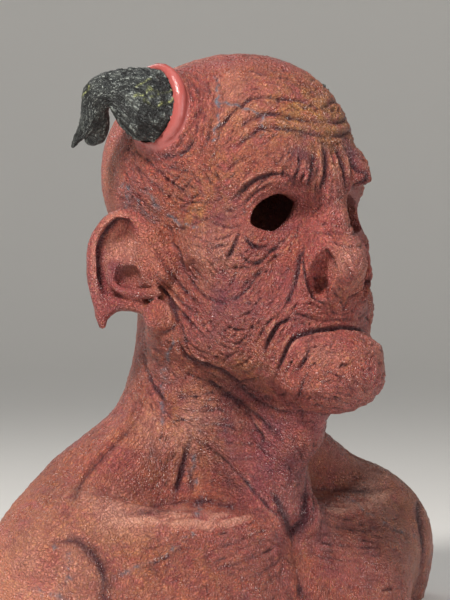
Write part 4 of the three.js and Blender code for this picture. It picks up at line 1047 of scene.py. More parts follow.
def new_tree(name, sizes):
    """A Geometry Nodes tree with named inputs; returns it with its geometry and its inputs."""
    tree = bpy.data.node_groups.new(name, "GeometryNodeTree")
    tree.interface.new_socket("Geometry", in_out="INPUT", socket_type="NodeSocketGeometry")
    for label, default in sizes.items():
        socket = tree.interface.new_socket(label, in_out="INPUT", socket_type="NodeSocketFloat")
        socket.default_value = default
    tree.interface.new_socket("Geometry", in_out="OUTPUT", socket_type="NodeSocketGeometry")
    geometry = add_node(tree, "NodeGroupInput")
    return tree, geometry, geometry.node.outputs


def push_in(tree, geometry, depth, material):
    """Ends a tree: keeps the depth, moves each point in by it and gives the mesh its material."""
    outward = add_node(tree, "GeometryNodeInputNamedAttribute", {"Name": "outward"},
                       data_type="FLOAT_VECTOR")
    shift = add_node(tree, "ShaderNodeVectorMath", {0: outward, "Scale": add_node(
        tree, "ShaderNodeMath", {0: depth, 1: -1.0}, operation="MULTIPLY")}, operation="SCALE")
    kept = add_node(tree, "GeometryNodeStoreNamedAttribute",
                    {"Geometry": geometry, "Name": "depth", "Value": depth},
                    data_type="FLOAT", domain="POINT")
    moved = add_node(tree, "GeometryNodeSetPosition", {"Geometry": kept, "Offset": shift})
    real = add_node(tree, "GeometryNodeRealizeInstances", {"Geometry": moved})
    coated = add_node(tree, "GeometryNodeSetMaterial", {"Geometry": real, "Material": material})
    add_node(tree, "NodeGroupOutput", {0: coated})


def drawn_cells(tree, place, flow, number, sharpness):
    """Creases between cells that are drawn out along the skin's flow: four sets of cells, one for
    each eighth of a turn, each shown as far as the flow runs its way."""
    flow_parts = add_node(tree, "ShaderNodeSeparateXYZ", {0: flow})
    total = None
    for turn, part, sign in ((0, 0, 1), (45, 1, 1), (90, 0, -1), (135, 1, -1)):
        along = add_node(tree, "ShaderNodeVectorRotate", {
            "Vector": place, "Angle": math.radians(turn)}, rotation_type="Y_AXIS")
        squeezed = add_node(tree, "ShaderNodeVectorMath", {0: along, 1: DRAWN_OUT},
                            operation="MULTIPLY")
        edge = add_node(tree, "ShaderNodeTexVoronoi", {"Vector": squeezed, "Scale": number},
                        "Distance", feature="DISTANCE_TO_EDGE")
        steep = add_node(tree, "ShaderNodeMath", {0: edge, 1: sharpness}, operation="MULTIPLY")
        bank = add_node(tree, "ShaderNodeMath", {0: steep}, operation="TANH")
        share = add_node(tree, "ShaderNodeMapRange", {
            "Value": flow_parts.node.outputs[part], "From Min": 0.0, "From Max": float(sign),
            "To Min": 0.12, "To Max": 1.0})
        groove = add_node(tree, "ShaderNodeMath", {0: bank, 1: -1.0, 2: 1.0},
                          operation="MULTIPLY_ADD")
        total = add_node(tree, "ShaderNodeMath", {0: groove, 1: share, 2: total or 0.0},
                         operation="MULTIPLY_ADD")
    return total


def skin_relief_tree(material):
    """Pushes the points in along the skin's own direction, by the drawn folds and by a warped net
    of creases and pebbles, and keeps the depth of each place for the paint, which lays painted shade in the
    creases and painted highlights on the ridges by it."""
    tree, geometry, sizes = new_tree("Skin relief", {
        "Fold depth": 1.0, "Crinkle size": 0.006, "Crinkle depth": 0.0008,
        "Pebble size": 0.0032, "Pebble depth": 0.0004, "Seed": 4.0,
    })
    place = add_node(tree, "GeometryNodeInputPosition")
    read = {
        name: add_node(tree, "GeometryNodeInputNamedAttribute", {"Name": name}, data_type=kind)
        for name, kind in (
            ("drawn", "FLOAT_VECTOR"), ("flow", "FLOAT_VECTOR"), ("fold", "FLOAT"),
            ("rough", "FLOAT"), ("outside", "FLOAT"))
    }
    # The creases run along the skin's flow, a little swayed, and come out deeper in patches.
    sway = add_node(tree, "ShaderNodeTexNoise",
                    {"Vector": place, "W": sizes["Seed"], "Scale": 70.0, "Detail": 3.0}, 1,
                    noise_dimensions="4D")
    centred = add_node(tree, "ShaderNodeVectorMath", {0: sway, 1: (0.5, 0.5, 0.5)},
                       operation="SUBTRACT")
    shift = add_node(tree, "ShaderNodeVectorMath", {0: centred, "Scale": 0.012}, operation="SCALE")
    warped = add_node(tree, "ShaderNodeVectorMath", {0: place, 1: shift}, operation="ADD")
    patchy = add_node(tree, "ShaderNodeTexNoise", {"Vector": place, "Scale": 38.0, "Detail": 2.0})
    patches = add_node(tree, "ShaderNodeMapRange", {
        "Value": patchy, "From Min": 0.35, "From Max": 0.62, "To Min": 0.25, "To Max": 1.0})
    bent = add_node(tree, "ShaderNodeVectorMath", {0: read["drawn"], 1: shift}, operation="ADD")
    number = add_node(tree, "ShaderNodeMath", {0: 1.0, 1: sizes["Crinkle size"]},
                      operation="DIVIDE")
    groove = drawn_cells(tree, bent, read["flow"], number, sharpness=9.0)
    deep = add_node(tree, "ShaderNodeMath", {0: groove, 1: sizes["Crinkle depth"]},
                    operation="MULTIPLY")
    fine = add_node(tree, "ShaderNodeMath", {0: deep, 1: patches}, operation="MULTIPLY")
    # Pebbles lie between them, over soft lumps.
    number = add_node(tree, "ShaderNodeMath", {0: 1.0, 1: sizes["Pebble size"]},
                      operation="DIVIDE")
    edge = add_node(tree, "ShaderNodeTexVoronoi", {"Vector": warped, "Scale": number},
                    "Distance", feature="DISTANCE_TO_EDGE")
    rise = add_node(tree, "ShaderNodeMath", {0: edge, 1: 6.0}, operation="MULTIPLY")
    bank = add_node(tree, "ShaderNodeMath", {0: rise}, operation="TANH")
    groove = add_node(tree, "ShaderNodeMath", {0: 1.0, 1: bank}, operation="SUBTRACT")
    fine = add_node(tree, "ShaderNodeMath", {0: groove, 1: sizes["Pebble depth"], 2: fine},
                    operation="MULTIPLY_ADD")
    lumps = add_node(tree, "ShaderNodeTexNoise", {"Vector": place, "Scale": 110.0, "Detail": 2.0})
    lumpy = add_node(tree, "ShaderNodeMapRange", {
        "Value": lumps, "To Min": 0.0008, "To Max": -0.0008}, clamp=False)
    fine = add_node(tree, "ShaderNodeMath", {0: fine, 1: lumpy}, operation="ADD")
    folds = add_node(tree, "ShaderNodeMath", {0: read["fold"], 1: sizes["Fold depth"]},
                     operation="MULTIPLY")
    depth = add_node(tree, "ShaderNodeMath", {0: fine, 1: read["rough"], 2: folds},
                     operation="MULTIPLY_ADD")
    depth = add_node(tree, "ShaderNodeMath", {0: depth, 1: read["outside"]}, operation="MULTIPLY")
    push_in(tree, geometry, depth, material)
    return tree


def horn_bark_tree(material):
    """Raises bark along the horn: ridges that run with it and break up into pits near the tip."""
    tree, geometry, sizes = new_tree("Horn bark", {
        "Ridge spacing": 0.0045, "Ridge depth": 0.0011, "Pit size": 0.0024, "Pit depth": 0.0007,
        "Seed": 2.0,
    })
    place = add_node(tree, "GeometryNodeInputPosition")
    read = {
        name: add_node(tree, "GeometryNodeInputNamedAttribute", {"Name": name}, data_type=kind)
        for name, kind in (("grain", "FLOAT_VECTOR"), ("bark", "FLOAT"), ("shown", "FLOAT"))
    }
    number = add_node(tree, "ShaderNodeMath", {0: 1.0, 1: sizes["Ridge spacing"]},
                      operation="DIVIDE")
    bark = add_node(tree, "ShaderNodeTexNoise", {
        "Vector": read["grain"], "W": sizes["Seed"], "Scale": number, "Detail": 3.0, "Distortion": 0.6,
    }, noise_dimensions="4D")
    centred = add_node(tree, "ShaderNodeMath", {0: bark, 1: 0.5}, operation="SUBTRACT")
    away = add_node(tree, "ShaderNodeMath", {0: centred}, operation="ABSOLUTE")
    ridge = add_node(tree, "ShaderNodeMapRange", {
        "Value": away, "From Min": 0.0, "From Max": 0.16, "To Min": 1.0, "To Max": -0.6},
        clamp=False)
    ridge_depth = add_node(tree, "ShaderNodeMath", {0: read["bark"], 1: sizes["Ridge depth"]},
                           operation="MULTIPLY")
    number = add_node(tree, "ShaderNodeMath", {0: 1.0, 1: sizes["Pit size"]}, operation="DIVIDE")
    cells = add_node(tree, "ShaderNodeTexVoronoi", {"Vector": place, "Scale": number}, "Distance",
                     feature="SMOOTH_F1")
    pit = add_node(tree, "ShaderNodeMath", {0: 0.45, 1: cells}, operation="SUBTRACT")
    swell = add_node(tree, "ShaderNodeTexNoise", {"Vector": place, "Scale": 80.0, "Detail": 2.0})
    lumps = add_node(tree, "ShaderNodeMapRange", {
        "Value": swell, "To Min": -0.0015, "To Max": 0.0015}, clamp=False)
    depth = add_node(tree, "ShaderNodeMath", {0: ridge, 1: ridge_depth, 2: lumps},
                     operation="MULTIPLY_ADD")
    depth = add_node(tree, "ShaderNodeMath", {0: pit, 1: sizes["Pit depth"], 2: depth},
                     operation="MULTIPLY_ADD")
    depth = add_node(tree, "ShaderNodeMath", {0: depth, 1: read["shown"]}, operation="MULTIPLY")
    push_in(tree, geometry, depth, material)
    return tree


def set_tree_inputs(modifier, values):
    """Sets a Geometry Nodes modifier's inputs, found by name and set by identifier."""
    for item in modifier.node_group.interface.items_tree:
        if item.item_type == "SOCKET" and item.in_out == "INPUT" and item.name in values:
            modifier[item.identifier] = values[item.name]


def sculpt_skin(settings):
    """The mask's skin: a closed wall with its folds and wrinkles, thinned to its triangles."""
    wall = settings.wall / MM

    def shell(points):
        return skin_shell(points, wall)

    points, quads, middle = half_net(shell, SKIN_LOW, SKIN_HIGH, SKIN_CELL)
    at_rim = points[:, 2] < SKIN_CELL / 2
    points[at_rim, 2] = 0

    def smooth(p):
        return sculpted(OUTER_FORMS, p)

    # 1 on the outer skin, 0 on the walls of the room inside and of the eye holes.
    height = smooth(points)
    outside = smooth_step(height, -2.4, -0.4)
    rows = np.flatnonzero(outside > 0)
    outward = np.zeros_like(points)
    outward[rows] = slopes(smooth, points[rows])
    # Points of the net that lie a little off the true surface go to it.
    loose = rows[(np.abs(height[rows]) < 0.6) & ~at_rim[rows]]
    points[loose] -= outward[loose] * height[loose, None]
    # The middle and the cut edge stay flat.
    points[middle, 0] = 0
    points[at_rim, 2] = 0
    outward[middle, 0] = 0
    outward[points[:, 2] < 3, 2] = 0

    across, toward, level = three_quarter(points)
    fold = np.zeros(len(points))
    facing = smooth_step(toward, 0, 25)
    seen = np.flatnonzero((facing > 0) & (outside > 0))
    strokes = [
        (line, depth, max(width * FOLD_TIGHTNESS, FOLD_NARROWEST))
        for line, depth, width in FOLDS + CREASES
    ]
    fold[seen] = drawn_depth(strokes, across[seen], level[seen]) * facing[seen]
    ear_gap = sculpted(EAR_FLESH, points)
    collar_gap = sculpted(COLLAR_LIPS, points)
    for gap, depth, width in COLLAR_CREASES:
        reach = gap + 0.15 * gap * np.sin(points[:, 2] * 0.21 + gap)
        fold += depth * np.exp(-((collar_gap - reach) / width) ** 2) * outside
    # The crinkle fades on the ears and collars and at the eye holes.
    rough = smooth_step(ear_gap, 0, 6) * smooth_step(collar_gap, 0, 7)
    rough *= smooth_step(sculpted(EYE_FORMS, points), 1, 5)

    # The fine wrinkles sway from one side to the other, so that the halves differ.
    whole, faces = with_mirror(points, quads, middle)
    both = np.concatenate([np.arange(len(points)), np.flatnonzero(~middle)])
    outward = outward[both]
    outward[len(points):, 0] *= -1
    wrinkles = np.zeros(len(whole))
    across, toward, level = three_quarter(whole)
    sway = 2.2 * np.sin(whole[:, 0] * 0.045 + 1.3) + 1.6 * np.sin(level * 0.05 + whole[:, 0] * 0.02)
    seen = np.flatnonzero((toward > 0) & (outside[both] > 0))
    fine = wrinkle_strokes(settings.seed)
    wrinkles[seen] = drawn_depth(fine, across[seen] + sway[seen], level[seen])
    wrinkles *= smooth_step(toward, 0, 30) * rough[both]

    piece = mesh_object("mask_skin_dressed", whole, faces)
    write_attribute(piece.data, "fold", (fold[both] + wrinkles * settings.wrinkle_share) * MM)
    write_attribute(piece.data, "outside", outside[both])
    write_attribute(piece.data, "outward", outward, "FLOAT_VECTOR")
    write_attribute(piece.data, "rough", rough[both])
    write_flow(piece.data, whole)
    return piece


def write_flow(mesh, points):
    """Writes the place of each point in the drawing, and which way the skin is drawn there."""
    across, toward, level = three_quarter(points)
    drawn = np.column_stack([across, toward + 0.9 * points[:, 0], level]) * MM
    flow = flow_field(flow_guides(FOLDS + CREASES), across, level)
    flow *= smooth_step(toward, 0, 30)[:, None]
    write_attribute(mesh, "drawn", drawn, "FLOAT_VECTOR")
    write_attribute(mesh, "flow", np.column_stack([flow, np.zeros(len(flow))]), "FLOAT_VECTOR")


def forwardness(points):
    """How closely a place is looked at: 1 on the face, less on the neck and breast, 0 behind."""
    across, toward, level = three_quarter(points)
    head = smooth_step(level, 150, 200)
    share = smooth_step(toward, 5, 45) * (0.65 + 0.35 * head) * smooth_step(across, -80, -40)
    return share * (1 - (1 - head) * smooth_step(across, 100, 120))


def thin_skin(piece):
    """Thins the mesh: the wall's inside first, then the outside, least where it faces forward."""
    for pull in (1.0, FORWARD_PULL):
        points = sculpt_points(piece.data)
        outside = sculpted(OUTER_FORMS, points) > DEEPEST_OUTSIDE
        triangles = sum(len(p.vertices) - 2 for p in piece.data.polygons)
        if pull == 1.0:
            keep = outside * 1.0
            goal = triangles - 2 * np.count_nonzero(~outside) + INSIDE_TRIANGLES
        else:
            keep = np.where(outside, forwardness(points), 0.5)
            goal = SKIN_TRIANGLES
        group = piece.vertex_groups.new(name="keep")
        steps = np.round(keep * THINNING_STEPS).astype(int)
        for step in range(1, THINNING_STEPS + 1):
            group.add(np.flatnonzero(steps == step).tolist(), step / THINNING_STEPS, "REPLACE")
        thin = piece.modifiers.new("Thin", "DECIMATE")
        thin.ratio = goal / triangles
        thin.vertex_group = group.name
        thin.invert_vertex_group = True
        thin.vertex_group_factor = pull
        thin.use_collapse_triangulate = True
        applied(piece)
        piece.vertex_groups.clear()


def paint_skin(mesh):
    """Writes where each wash of paint lies, among them the painted highlight and the plum wash that also
    serves as painted shade.
    """
    points = sculpt_points(mesh)
    smooth = sculpted(OUTER_FORMS, points)
    for name, spots in SPOTS.items():
        write_attribute(mesh, name, spot_weight(spots, points))
    off_ear = smooth_step(sculpted(EAR_FLESH, points), 2, 6)
    write_attribute(mesh, "vein", brushed_lines(VEINS, VEIN_WIDTH, points) * off_ear)
    write_attribute(mesh, "collar", 1 - smooth_step(sculpted(COLLAR_LIPS, points), 0.5, 3))
    write_attribute(mesh, "inside", 1 - smooth_step(smooth, -10.5, -8.5))


def horn_mesh(name, side, settings, material):
    """One horn with its bark, which follows a grain laid along it as if it were equally thick from
    its root to its tip."""
    points, quads = surface_net(horn_distance, HORN_LOW, HORN_HIGH, HORN_CELL)
    height = horn_distance(points)
    outward = slopes(horn_distance, points)
    points -= outward * height[:, None]
    line = smooth_line(HORN_LINE, 6)
    lengths = np.concatenate([[0], np.cumsum(np.linalg.norm(np.diff(line, axis=0), axis=1))])
    off = np.linalg.norm(points[:, None] - line[None], axis=2)
    nearest = off.argmin(1)
    blend = np.exp(-((off - off.min(1, keepdims=True)) / 3) ** 2)
    along = (blend * lengths).sum(1) / blend.sum(1)
    centre = (blend @ line) / blend.sum(1)[:, None]
    radial = points - centre
    tangent = np.gradient(line, axis=0)
    tangent /= np.linalg.norm(tangent, axis=1, keepdims=True)
    run = (radial * tangent[nearest]).sum(1)
    grain_at = radial - run[:, None] * tangent[nearest]
    grain_at = grain_at / (np.linalg.norm(grain_at, axis=1, keepdims=True) + 1e-9) * GRAIN_RADIUS
    grain_vector = grain_at + GRAIN_DRIFT * (along * GRAIN_SQUEEZE)[:, None]
    share = along / lengths[-1]
    shown = smooth_step((points - COLLAR_AT) @ HORN_DIR, -3, 1)
    flip = np.array([side, 1, 1])
    faces = quads if side > 0 else quads[:, ::-1]
    piece = mesh_object(name, points * flip, faces)
    write_attribute(piece.data, "outward", outward * flip, "FLOAT_VECTOR")
    write_attribute(piece.data, "grain", (grain_vector + (side * 7, 0, 0)) * MM, "FLOAT_VECTOR")
    write_attribute(piece.data, "bark", 1 - 0.75 * smooth_step(share, 0.3, 0.6))
    write_attribute(piece.data, "shown", shown)
    write_attribute(piece.data, "lime", brushed_lines(LIME_STROKES, LIME_WIDTH, points))
    bark = piece.modifiers.new("Horn bark", "NODES")
    bark.node_group = horn_bark_tree(material)
    set_tree_inputs(bark, {"Ridge depth": settings.ridge_depth, "Ridge spacing": settings.ridge_spacing})
    applied(piece)
    piece.data.materials.clear()
    piece.data.materials.append(material)
    return piece


# Paint.


def linear(text):
    """The linear colour of an sRGB hex value."""
    parts = [int(text[i:i + 2], 16) / 255 for i in (1, 3, 5)]
    return tuple(c / 12.92 if c <= 0.04045 else ((c + 0.055) / 1.055) ** 2.4 for c in parts)


def empty_material(name):
    """A new material and its node tree, with nothing in it."""
    material = bpy.data.materials.new(name)
    material.use_nodes = True
    material.node_tree.nodes.clear()
    return material, material.node_tree


def coat(tree, washes, base):
    """Lays washes of colour over a base, each as (colour, pattern, low, high, thin, thick): its
    share goes from thin where the pattern is at low to thick where it is at high."""
    colour = (*base, 1.0)
    for over, pattern, low, high, thin, thick in washes:
        share = add_node(tree, "ShaderNodeMapRange", {
            "Value": pattern, "From Min": low, "From Max": high, "To Min": thin, "To Max": thick})
        colour = add_node(tree, "ShaderNodeMix", {0: share, 6: colour, 7: (*over, 1.0)}, 2,
                          data_type="RGBA")
    return colour


def painted_silicone(settings):
    """Platinum silicone, cast in one piece and airbrushed in thin washes: a satin skin whose creases hold a
    plum wash, with ochre sponged on its bosses and blue-grey veins.
    Its creases and grain grooves are also darkened as painted shade, and its ridges and best-lit places
    lightened as painted highlights."""
    material, tree = empty_material("Painted platinum silicone")
    place = add_node(tree, "ShaderNodeTexCoord", output="Object")
    read = {
        name: add_node(tree, "ShaderNodeAttribute", output="Fac", attribute_name=name)
        for name in ("depth", "ochre", "blush", "pale", "plum", "vein", "collar", "inside")
    }
    noise = {
        name: add_node(tree, "ShaderNodeTexNoise", {
            "Vector": place, "Scale": 1 / (size * MM), "Detail": detail, "Roughness": rough})
        for name, size, detail, rough in (
            ("broad", 30, 3, 0.5), ("mottle", 7, 4, 0.65), ("sponge", 9, 3, 0.6), ("cloud", 16, 2, 0.5),
            # Freckles, sponged about a millimetre across on the real skin and drawn at two.
            ("freckle", 2.2, 2, 0.7), ("speck", 2.6, 3, 0.75),
            ("streak", 5, 2, 0.5), ("sheen", 11, 3, 0.5))
    }
    # Skin grain, finer than the mesh: lines drawn out along the folds, about two and a half
    # millimetres apart, over pebbles of two and a half and of one and a half. Their grooves bump the surface
    # and are also painted darker, as painted shade.
    sway = add_node(tree, "ShaderNodeTexNoise", {"Vector": place, "Scale": 160.0, "Detail": 3.0}, 1)
    drawn = add_node(tree, "ShaderNodeAttribute", output="Vector", attribute_name="drawn")
    flow = add_node(tree, "ShaderNodeAttribute", output="Vector", attribute_name="flow")
    bent = add_node(tree, "ShaderNodeMix", {0: 0.006, 4: drawn, 5: sway}, 1, data_type="VECTOR")
    lines = drawn_cells(tree, bent, flow, 1 / (2.4 * MM), sharpness=5.0)
    swayed = add_node(tree, "ShaderNodeMix", {0: 0.003, 4: place, 5: sway}, 1, data_type="VECTOR")
    pebbles = []
    for size in (2.5, 1.5):
        edges = add_node(tree, "ShaderNodeTexVoronoi", {"Vector": swayed, "Scale": 1 / (size * MM)},
                         "Distance", feature="DISTANCE_TO_EDGE")
        pebbles.append(add_node(tree, "ShaderNodeMapRange", {
            "Value": edges, "From Min": 0.0, "From Max": 0.28}))
    colour = coat(tree, (
        (settings.terracotta, noise["broad"], 0.40, 0.62, 0.0, 1.0),
        (linear("#8a3f38"), noise["mottle"], 0.44, 0.66, 0.0, 0.55),
        (settings.ochre, noise["sponge"], 0.36, 0.60, 0.0, read["ochre"]),
        (settings.blush, noise["cloud"], 0.25, 0.60, 0.0, read["blush"]),
        # painted highlight on the pale spots
        (settings.highlight, noise["broad"], 0.30, 0.55, 0.0, read["pale"]),
        (linear("#cd9455"), noise["freckle"], 0.55, 0.68, 0.0, 0.45),
        (linear("#6d3034"), noise["speck"], 0.45, 0.30, 0.0, 0.5),
        # plum wash, partly painted shade, on the plum spots
        (settings.plum, noise["cloud"], 0.80, 0.35, 0.0, read["plum"]),
        # painted shade in the grooves of the grain lines and along the edges of the larger pebbles
        (linear("#5a262b"), lines, 0.2, 0.9, 0.0, 0.48),
        (linear("#5a262b"), pebbles[0], 0.5, 0.0, 0.0, 0.2),
        (settings.vein, noise["streak"], 0.36, 0.58, 0.0, read["vein"]),
        # painted highlight on the raised banks and ridges, then painted shade in the deepest creases
        (linear("#dfa088"), read["depth"], 0.0, -0.0009, 0.0, 0.5),
        (linear("#3d1620"), read["depth"], 0.0004, 0.0022, 0.0, 0.9),
        (settings.collar, read["collar"], 0.0, 1.0, 0.0, 1.0),
        (linear("#7a3f33"), read["inside"], 0.0, 1.0, 0.0, 1.0),
    ), settings.rose)
    sheen = add_node(tree, "ShaderNodeMapRange", {
        "Value": noise["sheen"], "From Min": 0.35, "From Max": 0.65, "To Min": 0.24, "To Max": 0.4})
    gloss = add_node(tree, "ShaderNodeMix", {0: read["collar"], 2: sheen, 3: 0.24}, 0,
                     data_type="FLOAT")
    fine = add_node(tree, "ShaderNodeMath", {0: pebbles[1], 1: 0.6, 2: pebbles[0]},
                    operation="MULTIPLY_ADD")
    fine = add_node(tree, "ShaderNodeMath", {0: lines, 1: -1.0, 2: fine}, operation="MULTIPLY_ADD")
    strength = add_node(tree, "ShaderNodeMapRange", {
        "Value": read["collar"], "To Min": 0.85, "To Max": 0.12})
    bump = add_node(tree, "ShaderNodeBump", {
        "Height": fine, "Strength": strength, "Distance": 0.001})
    shader = add_node(tree, "ShaderNodeBsdfPrincipled", {
        "Base Color": colour, "Roughness": gloss, "Normal": bump, "IOR": 1.45,
        "Specular IOR Level": 0.75, "Subsurface Weight": 0.03,
        "Subsurface Radius": (1.0, 0.32, 0.16), "Subsurface Scale": 0.002})
    add_node(tree, "ShaderNodeOutputMaterial", {"Surface": shader})
    return material


def cast_horn_resin(settings):
    """Polyurethane resin, cast in a bark-textured mould, painted black and dry-brushed: dull, with
    its ridges pale, its furrows nearly black and a few lime streaks along the grain."""
    material, tree = empty_material("Dry-brushed cast resin")
    place = add_node(tree, "ShaderNodeTexCoord", output="Object")
    along = add_node(tree, "ShaderNodeAttribute", output="Vector", attribute_name="grain")
    read = {
        name: add_node(tree, "ShaderNodeAttribute", output="Fac", attribute_name=name)
        for name in ("depth", "lime")
    }
    noise = {
        name: add_node(tree, "ShaderNodeTexNoise", {
            "Vector": source, "Scale": 1 / (size * MM), "Detail": detail, "Roughness": rough})
        for name, source, size, detail, rough in (
            ("mottle", place, 6, 3, 0.6), ("dust", place, 1.6, 3, 0.75), ("streak", along, 4, 3, 0.6))
    }
    # A net of fine cracks a millimetre and a half apart, drawn out along the horn near its root.
    sway = add_node(tree, "ShaderNodeTexNoise", {"Vector": place, "Scale": 300.0, "Detail": 2.0}, 1)
    bent = add_node(tree, "ShaderNodeMix", {0: 0.003, 4: along, 5: sway}, 1, data_type="VECTOR")
    cracks = add_node(tree, "ShaderNodeTexVoronoi", {"Vector": bent, "Scale": 1 / (1.5 * MM)},
                      "Distance", feature="DISTANCE_TO_EDGE")
    colour = coat(tree, (
        (settings.charcoal, noise["mottle"], 0.35, 0.62, 0.0, 1.0),
        (linear("#6b706a"), noise["streak"], 0.46, 0.64, 0.0, 0.6),
        (linear("#a9aea6"), cracks, 0.16, 0.42, 0.0, 0.75),
        (linear("#15181a"), noise["dust"], 0.52, 0.40, 0.0, 0.8),
        (settings.dry_brush, read["depth"], 0.0001, -0.0008, 0.0, 0.5),
        (settings.lime, noise["dust"], 0.36, 0.5, 0.0, read["lime"]),
        (linear("#0d0f10"), cracks, 0.16, 0.02, 0.0, 0.85),
        (linear("#0b0c0d"), read["depth"], 0.0002, 0.0009, 0.0, 0.9),
    ), linear("#2b2f30"))
    relief = add_node(tree, "ShaderNodeMapRange", {"Value": cracks, "From Max": 0.3})
    rough = add_node(tree, "ShaderNodeMath", {0: noise["dust"], 1: relief}, operation="ADD")
    bump = add_node(tree, "ShaderNodeBump", {"Height": rough, "Strength": 1.0, "Distance": 0.0008})
    shader = add_node(tree, "ShaderNodeBsdfPrincipled", {
        "Base Color": colour, "Roughness": 0.45, "IOR": 1.5, "Normal": bump})
    add_node(tree, "ShaderNodeOutputMaterial", {"Surface": shader})
    return material


def studio_paper(settings):
    """Backdrop paper, calendered: flat, pale and without gloss."""
    material, tree = empty_material("Calendered backdrop paper")
    shader = add_node(tree, "ShaderNodeBsdfPrincipled", {
        "Base Color": (*settings.floor, 1.0), "Roughness": 0.9,
        "Emission Color": (*settings.floor, 1.0), "Emission Strength": 0.2})
    add_node(tree, "ShaderNodeOutputMaterial", {"Surface": shader})
    return material


# Sizes and colours that a user would change.


def length_setting(name, description, default, **limits):
    return bpy.props.FloatProperty(
        name=name, description=description, default=default, unit="LENGTH", **limits)


def colour_setting(name, description, default):
    return bpy.props.FloatVectorProperty(
        name=name, description=description, default=linear(default), subtype="COLOR")


class SkinSettings(bpy.types.PropertyGroup):
    wall: length_setting("Wall", "Thickness of the silicone", 0.006, min=0.003, max=0.01)
    crinkle_depth: length_setting("Crinkle depth", "Depth of the net of fine creases", 0.0007)
    crinkle_size: length_setting("Crinkle size", "Distance between the fine creases", 0.0055)
    wrinkle_share: bpy.props.FloatProperty(
        name="Wrinkles", description="Share of the wrinkles' full depth", default=1.0,
        subtype="FACTOR", min=0, max=2)
    seed: bpy.props.IntProperty(
        name="Seed", description="Picks another set of fine wrinkles", default=7)
    rose: colour_setting("Rose", "Base coat", "#b65d54")
    terracotta: colour_setting("Terracotta", "Second coat", "#b96449")
    ochre: colour_setting("Ochre", "Sponged on the bosses", "#b98340")
    blush: colour_setting("Blush", "Nose, lips and ears", "#b64c48")
    # Colour of the painted highlight on the pale spots.
    highlight: colour_setting("Highlight", "Misted on what stands out", "#e3a08a")
    # The plum wash, which also serves as painted shade in the hollows.
    plum: colour_setting("Plum", "Wash in the hollows", "#6b3547")
    vein: colour_setting("Vein", "Veins", "#686a74")
    collar: colour_setting("Collar", "Smooth flesh around each horn", "#a04f4a")


class HornSettings(bpy.types.PropertyGroup):
    ridge_depth: length_setting("Ridge depth", "Depth of the bark", 0.0011)
    ridge_spacing: length_setting("Ridge spacing", "Distance between ridges", 0.0045)
    charcoal: colour_setting("Charcoal", "Base coat", "#3c4142")
    dry_brush: colour_setting("Dry brush", "Caught on the ridges", "#7f847d")
    lime: colour_setting("Lime", "Streaks near the root", "#a5aa68")


class StageSettings(bpy.types.PropertyGroup):
    floor: colour_setting("Floor", "Colour of the floor and sweep", "#d9d7d3")
    distance: length_setting("Camera distance", "From the mask's middle", 1.8)


# What the add-on adds.


class DEVIL_MASK_OT_skin(bpy.types.Operator):
    """Sculpts and paints the silicone skin"""

    bl_idname = "devil_mask.skin"
    bl_label = "Add mask skin"

    def execute(self, context):
        settings = context.scene.devil_mask_skin
        material = painted_silicone(settings)
        piece = sculpt_skin(settings)
        relief = piece.modifiers.new("Skin relief", "NODES")
        relief.node_group = skin_relief_tree(material)
        set_tree_inputs(relief, {
            "Crinkle size": settings.crinkle_size, "Crinkle depth": settings.crinkle_depth})
        applied(piece)
        thin_skin(piece)
        paint_skin(piece.data)
        piece.data.materials.clear()
        piece.data.materials.append(material)
        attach(piece, "root")
        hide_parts("mask_skin")
        return {"FINISHED"}


class DEVIL_MASK_OT_horns(bpy.types.Operator):
    """Casts the two horns"""

    bl_idname = "devil_mask.horns"
    bl_label = "Add horns"

    def execute(self, context):
        settings = context.scene.devil_mask_horns
        material = cast_horn_resin(settings)
        for side, name in ((-1, "horn_right"), (1, "horn_left")):
            piece = horn_mesh(name + "_dressed", side, settings, material)
            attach(piece, "root")
            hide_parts(name)
        return {"FINISHED"}


# Stage.


CAMERA_AZIMUTH = math.radians(-45)
CAMERA_ELEVATION = math.radians(1)
CAMERA_AIM = Vector((0, CENTRE_Y * MM, 0.237))
CAMERA_ASIDE = -0.002223  # the aim lies this far to the right of the mask's middle
PHOTO_HEIGHT = 0.4446  # what the picture's height takes in at the aim
SENSOR_HEIGHT = 36
LIGHT_AIM = Vector((0, 0, 0.24))
FLOOR_DROP = 0.0002  # keeps the floor clear of the mask's cut edge


def soft_light(name, place, size, power, colour):
    """A round lamp that faces the mask's middle."""
    light = bpy.data.lights.new(name, "AREA")
    light.shape = "DISK"
    light.size = size
    light.energy = power
    light.color = colour
    lamp = bpy.data.objects.new(name, light)
    lamp.location = place
    lamp.rotation_mode = "QUATERNION"
    lamp.rotation_quaternion = (LIGHT_AIM - Vector(place)).to_track_quat("-Z", "Y")
    bpy.context.scene.collection.objects.link(lamp)


def around(azimuth, elevation, distance):
    """The place at this distance from the origin, with its angles counted from the front."""
    a, e = math.radians(azimuth), math.radians(elevation)
    return Vector((math.sin(a) * math.cos(e), -math.cos(a) * math.cos(e), math.sin(e))) * distance


def sweep_mesh():
    """A round floor that turns up into a wall well outside the cameras."""
    floor_radius, turn, wall_top, sides = 4.2, 1.4, 3.4, 96
    profile = [(0.0, 0.0), (1.2, 0.0), (2.8, 0.0), (floor_radius, 0.0)]
    for i in range(1, 13):
        angle = i / 12 * math.pi / 2
        profile.append((floor_radius + turn * math.sin(angle), turn * (1 - math.cos(angle))))
    profile.append((floor_radius + turn, wall_top))
    points = [(0.0, 0.0, -FLOOR_DROP)]
    for radius, height in profile[1:]:
        for s in range(sides):
            a = s / sides * 2 * math.pi
            points.append((radius * math.cos(a), radius * math.sin(a), height - FLOOR_DROP))
    faces = [(0, 1 + s, 1 + (s + 1) % sides) for s in range(sides)]
    for ring in range(len(profile) - 2):
        low, high = 1 + ring * sides, 1 + (ring + 1) * sides
        for s in range(sides):
            t = (s + 1) % sides
            faces.append((low + s, high + s, high + t, low + t))
    mesh = bpy.data.meshes.new("studio_sweep")
    mesh.from_pydata(points, [], faces)
    mesh.shade_smooth()
    return mesh


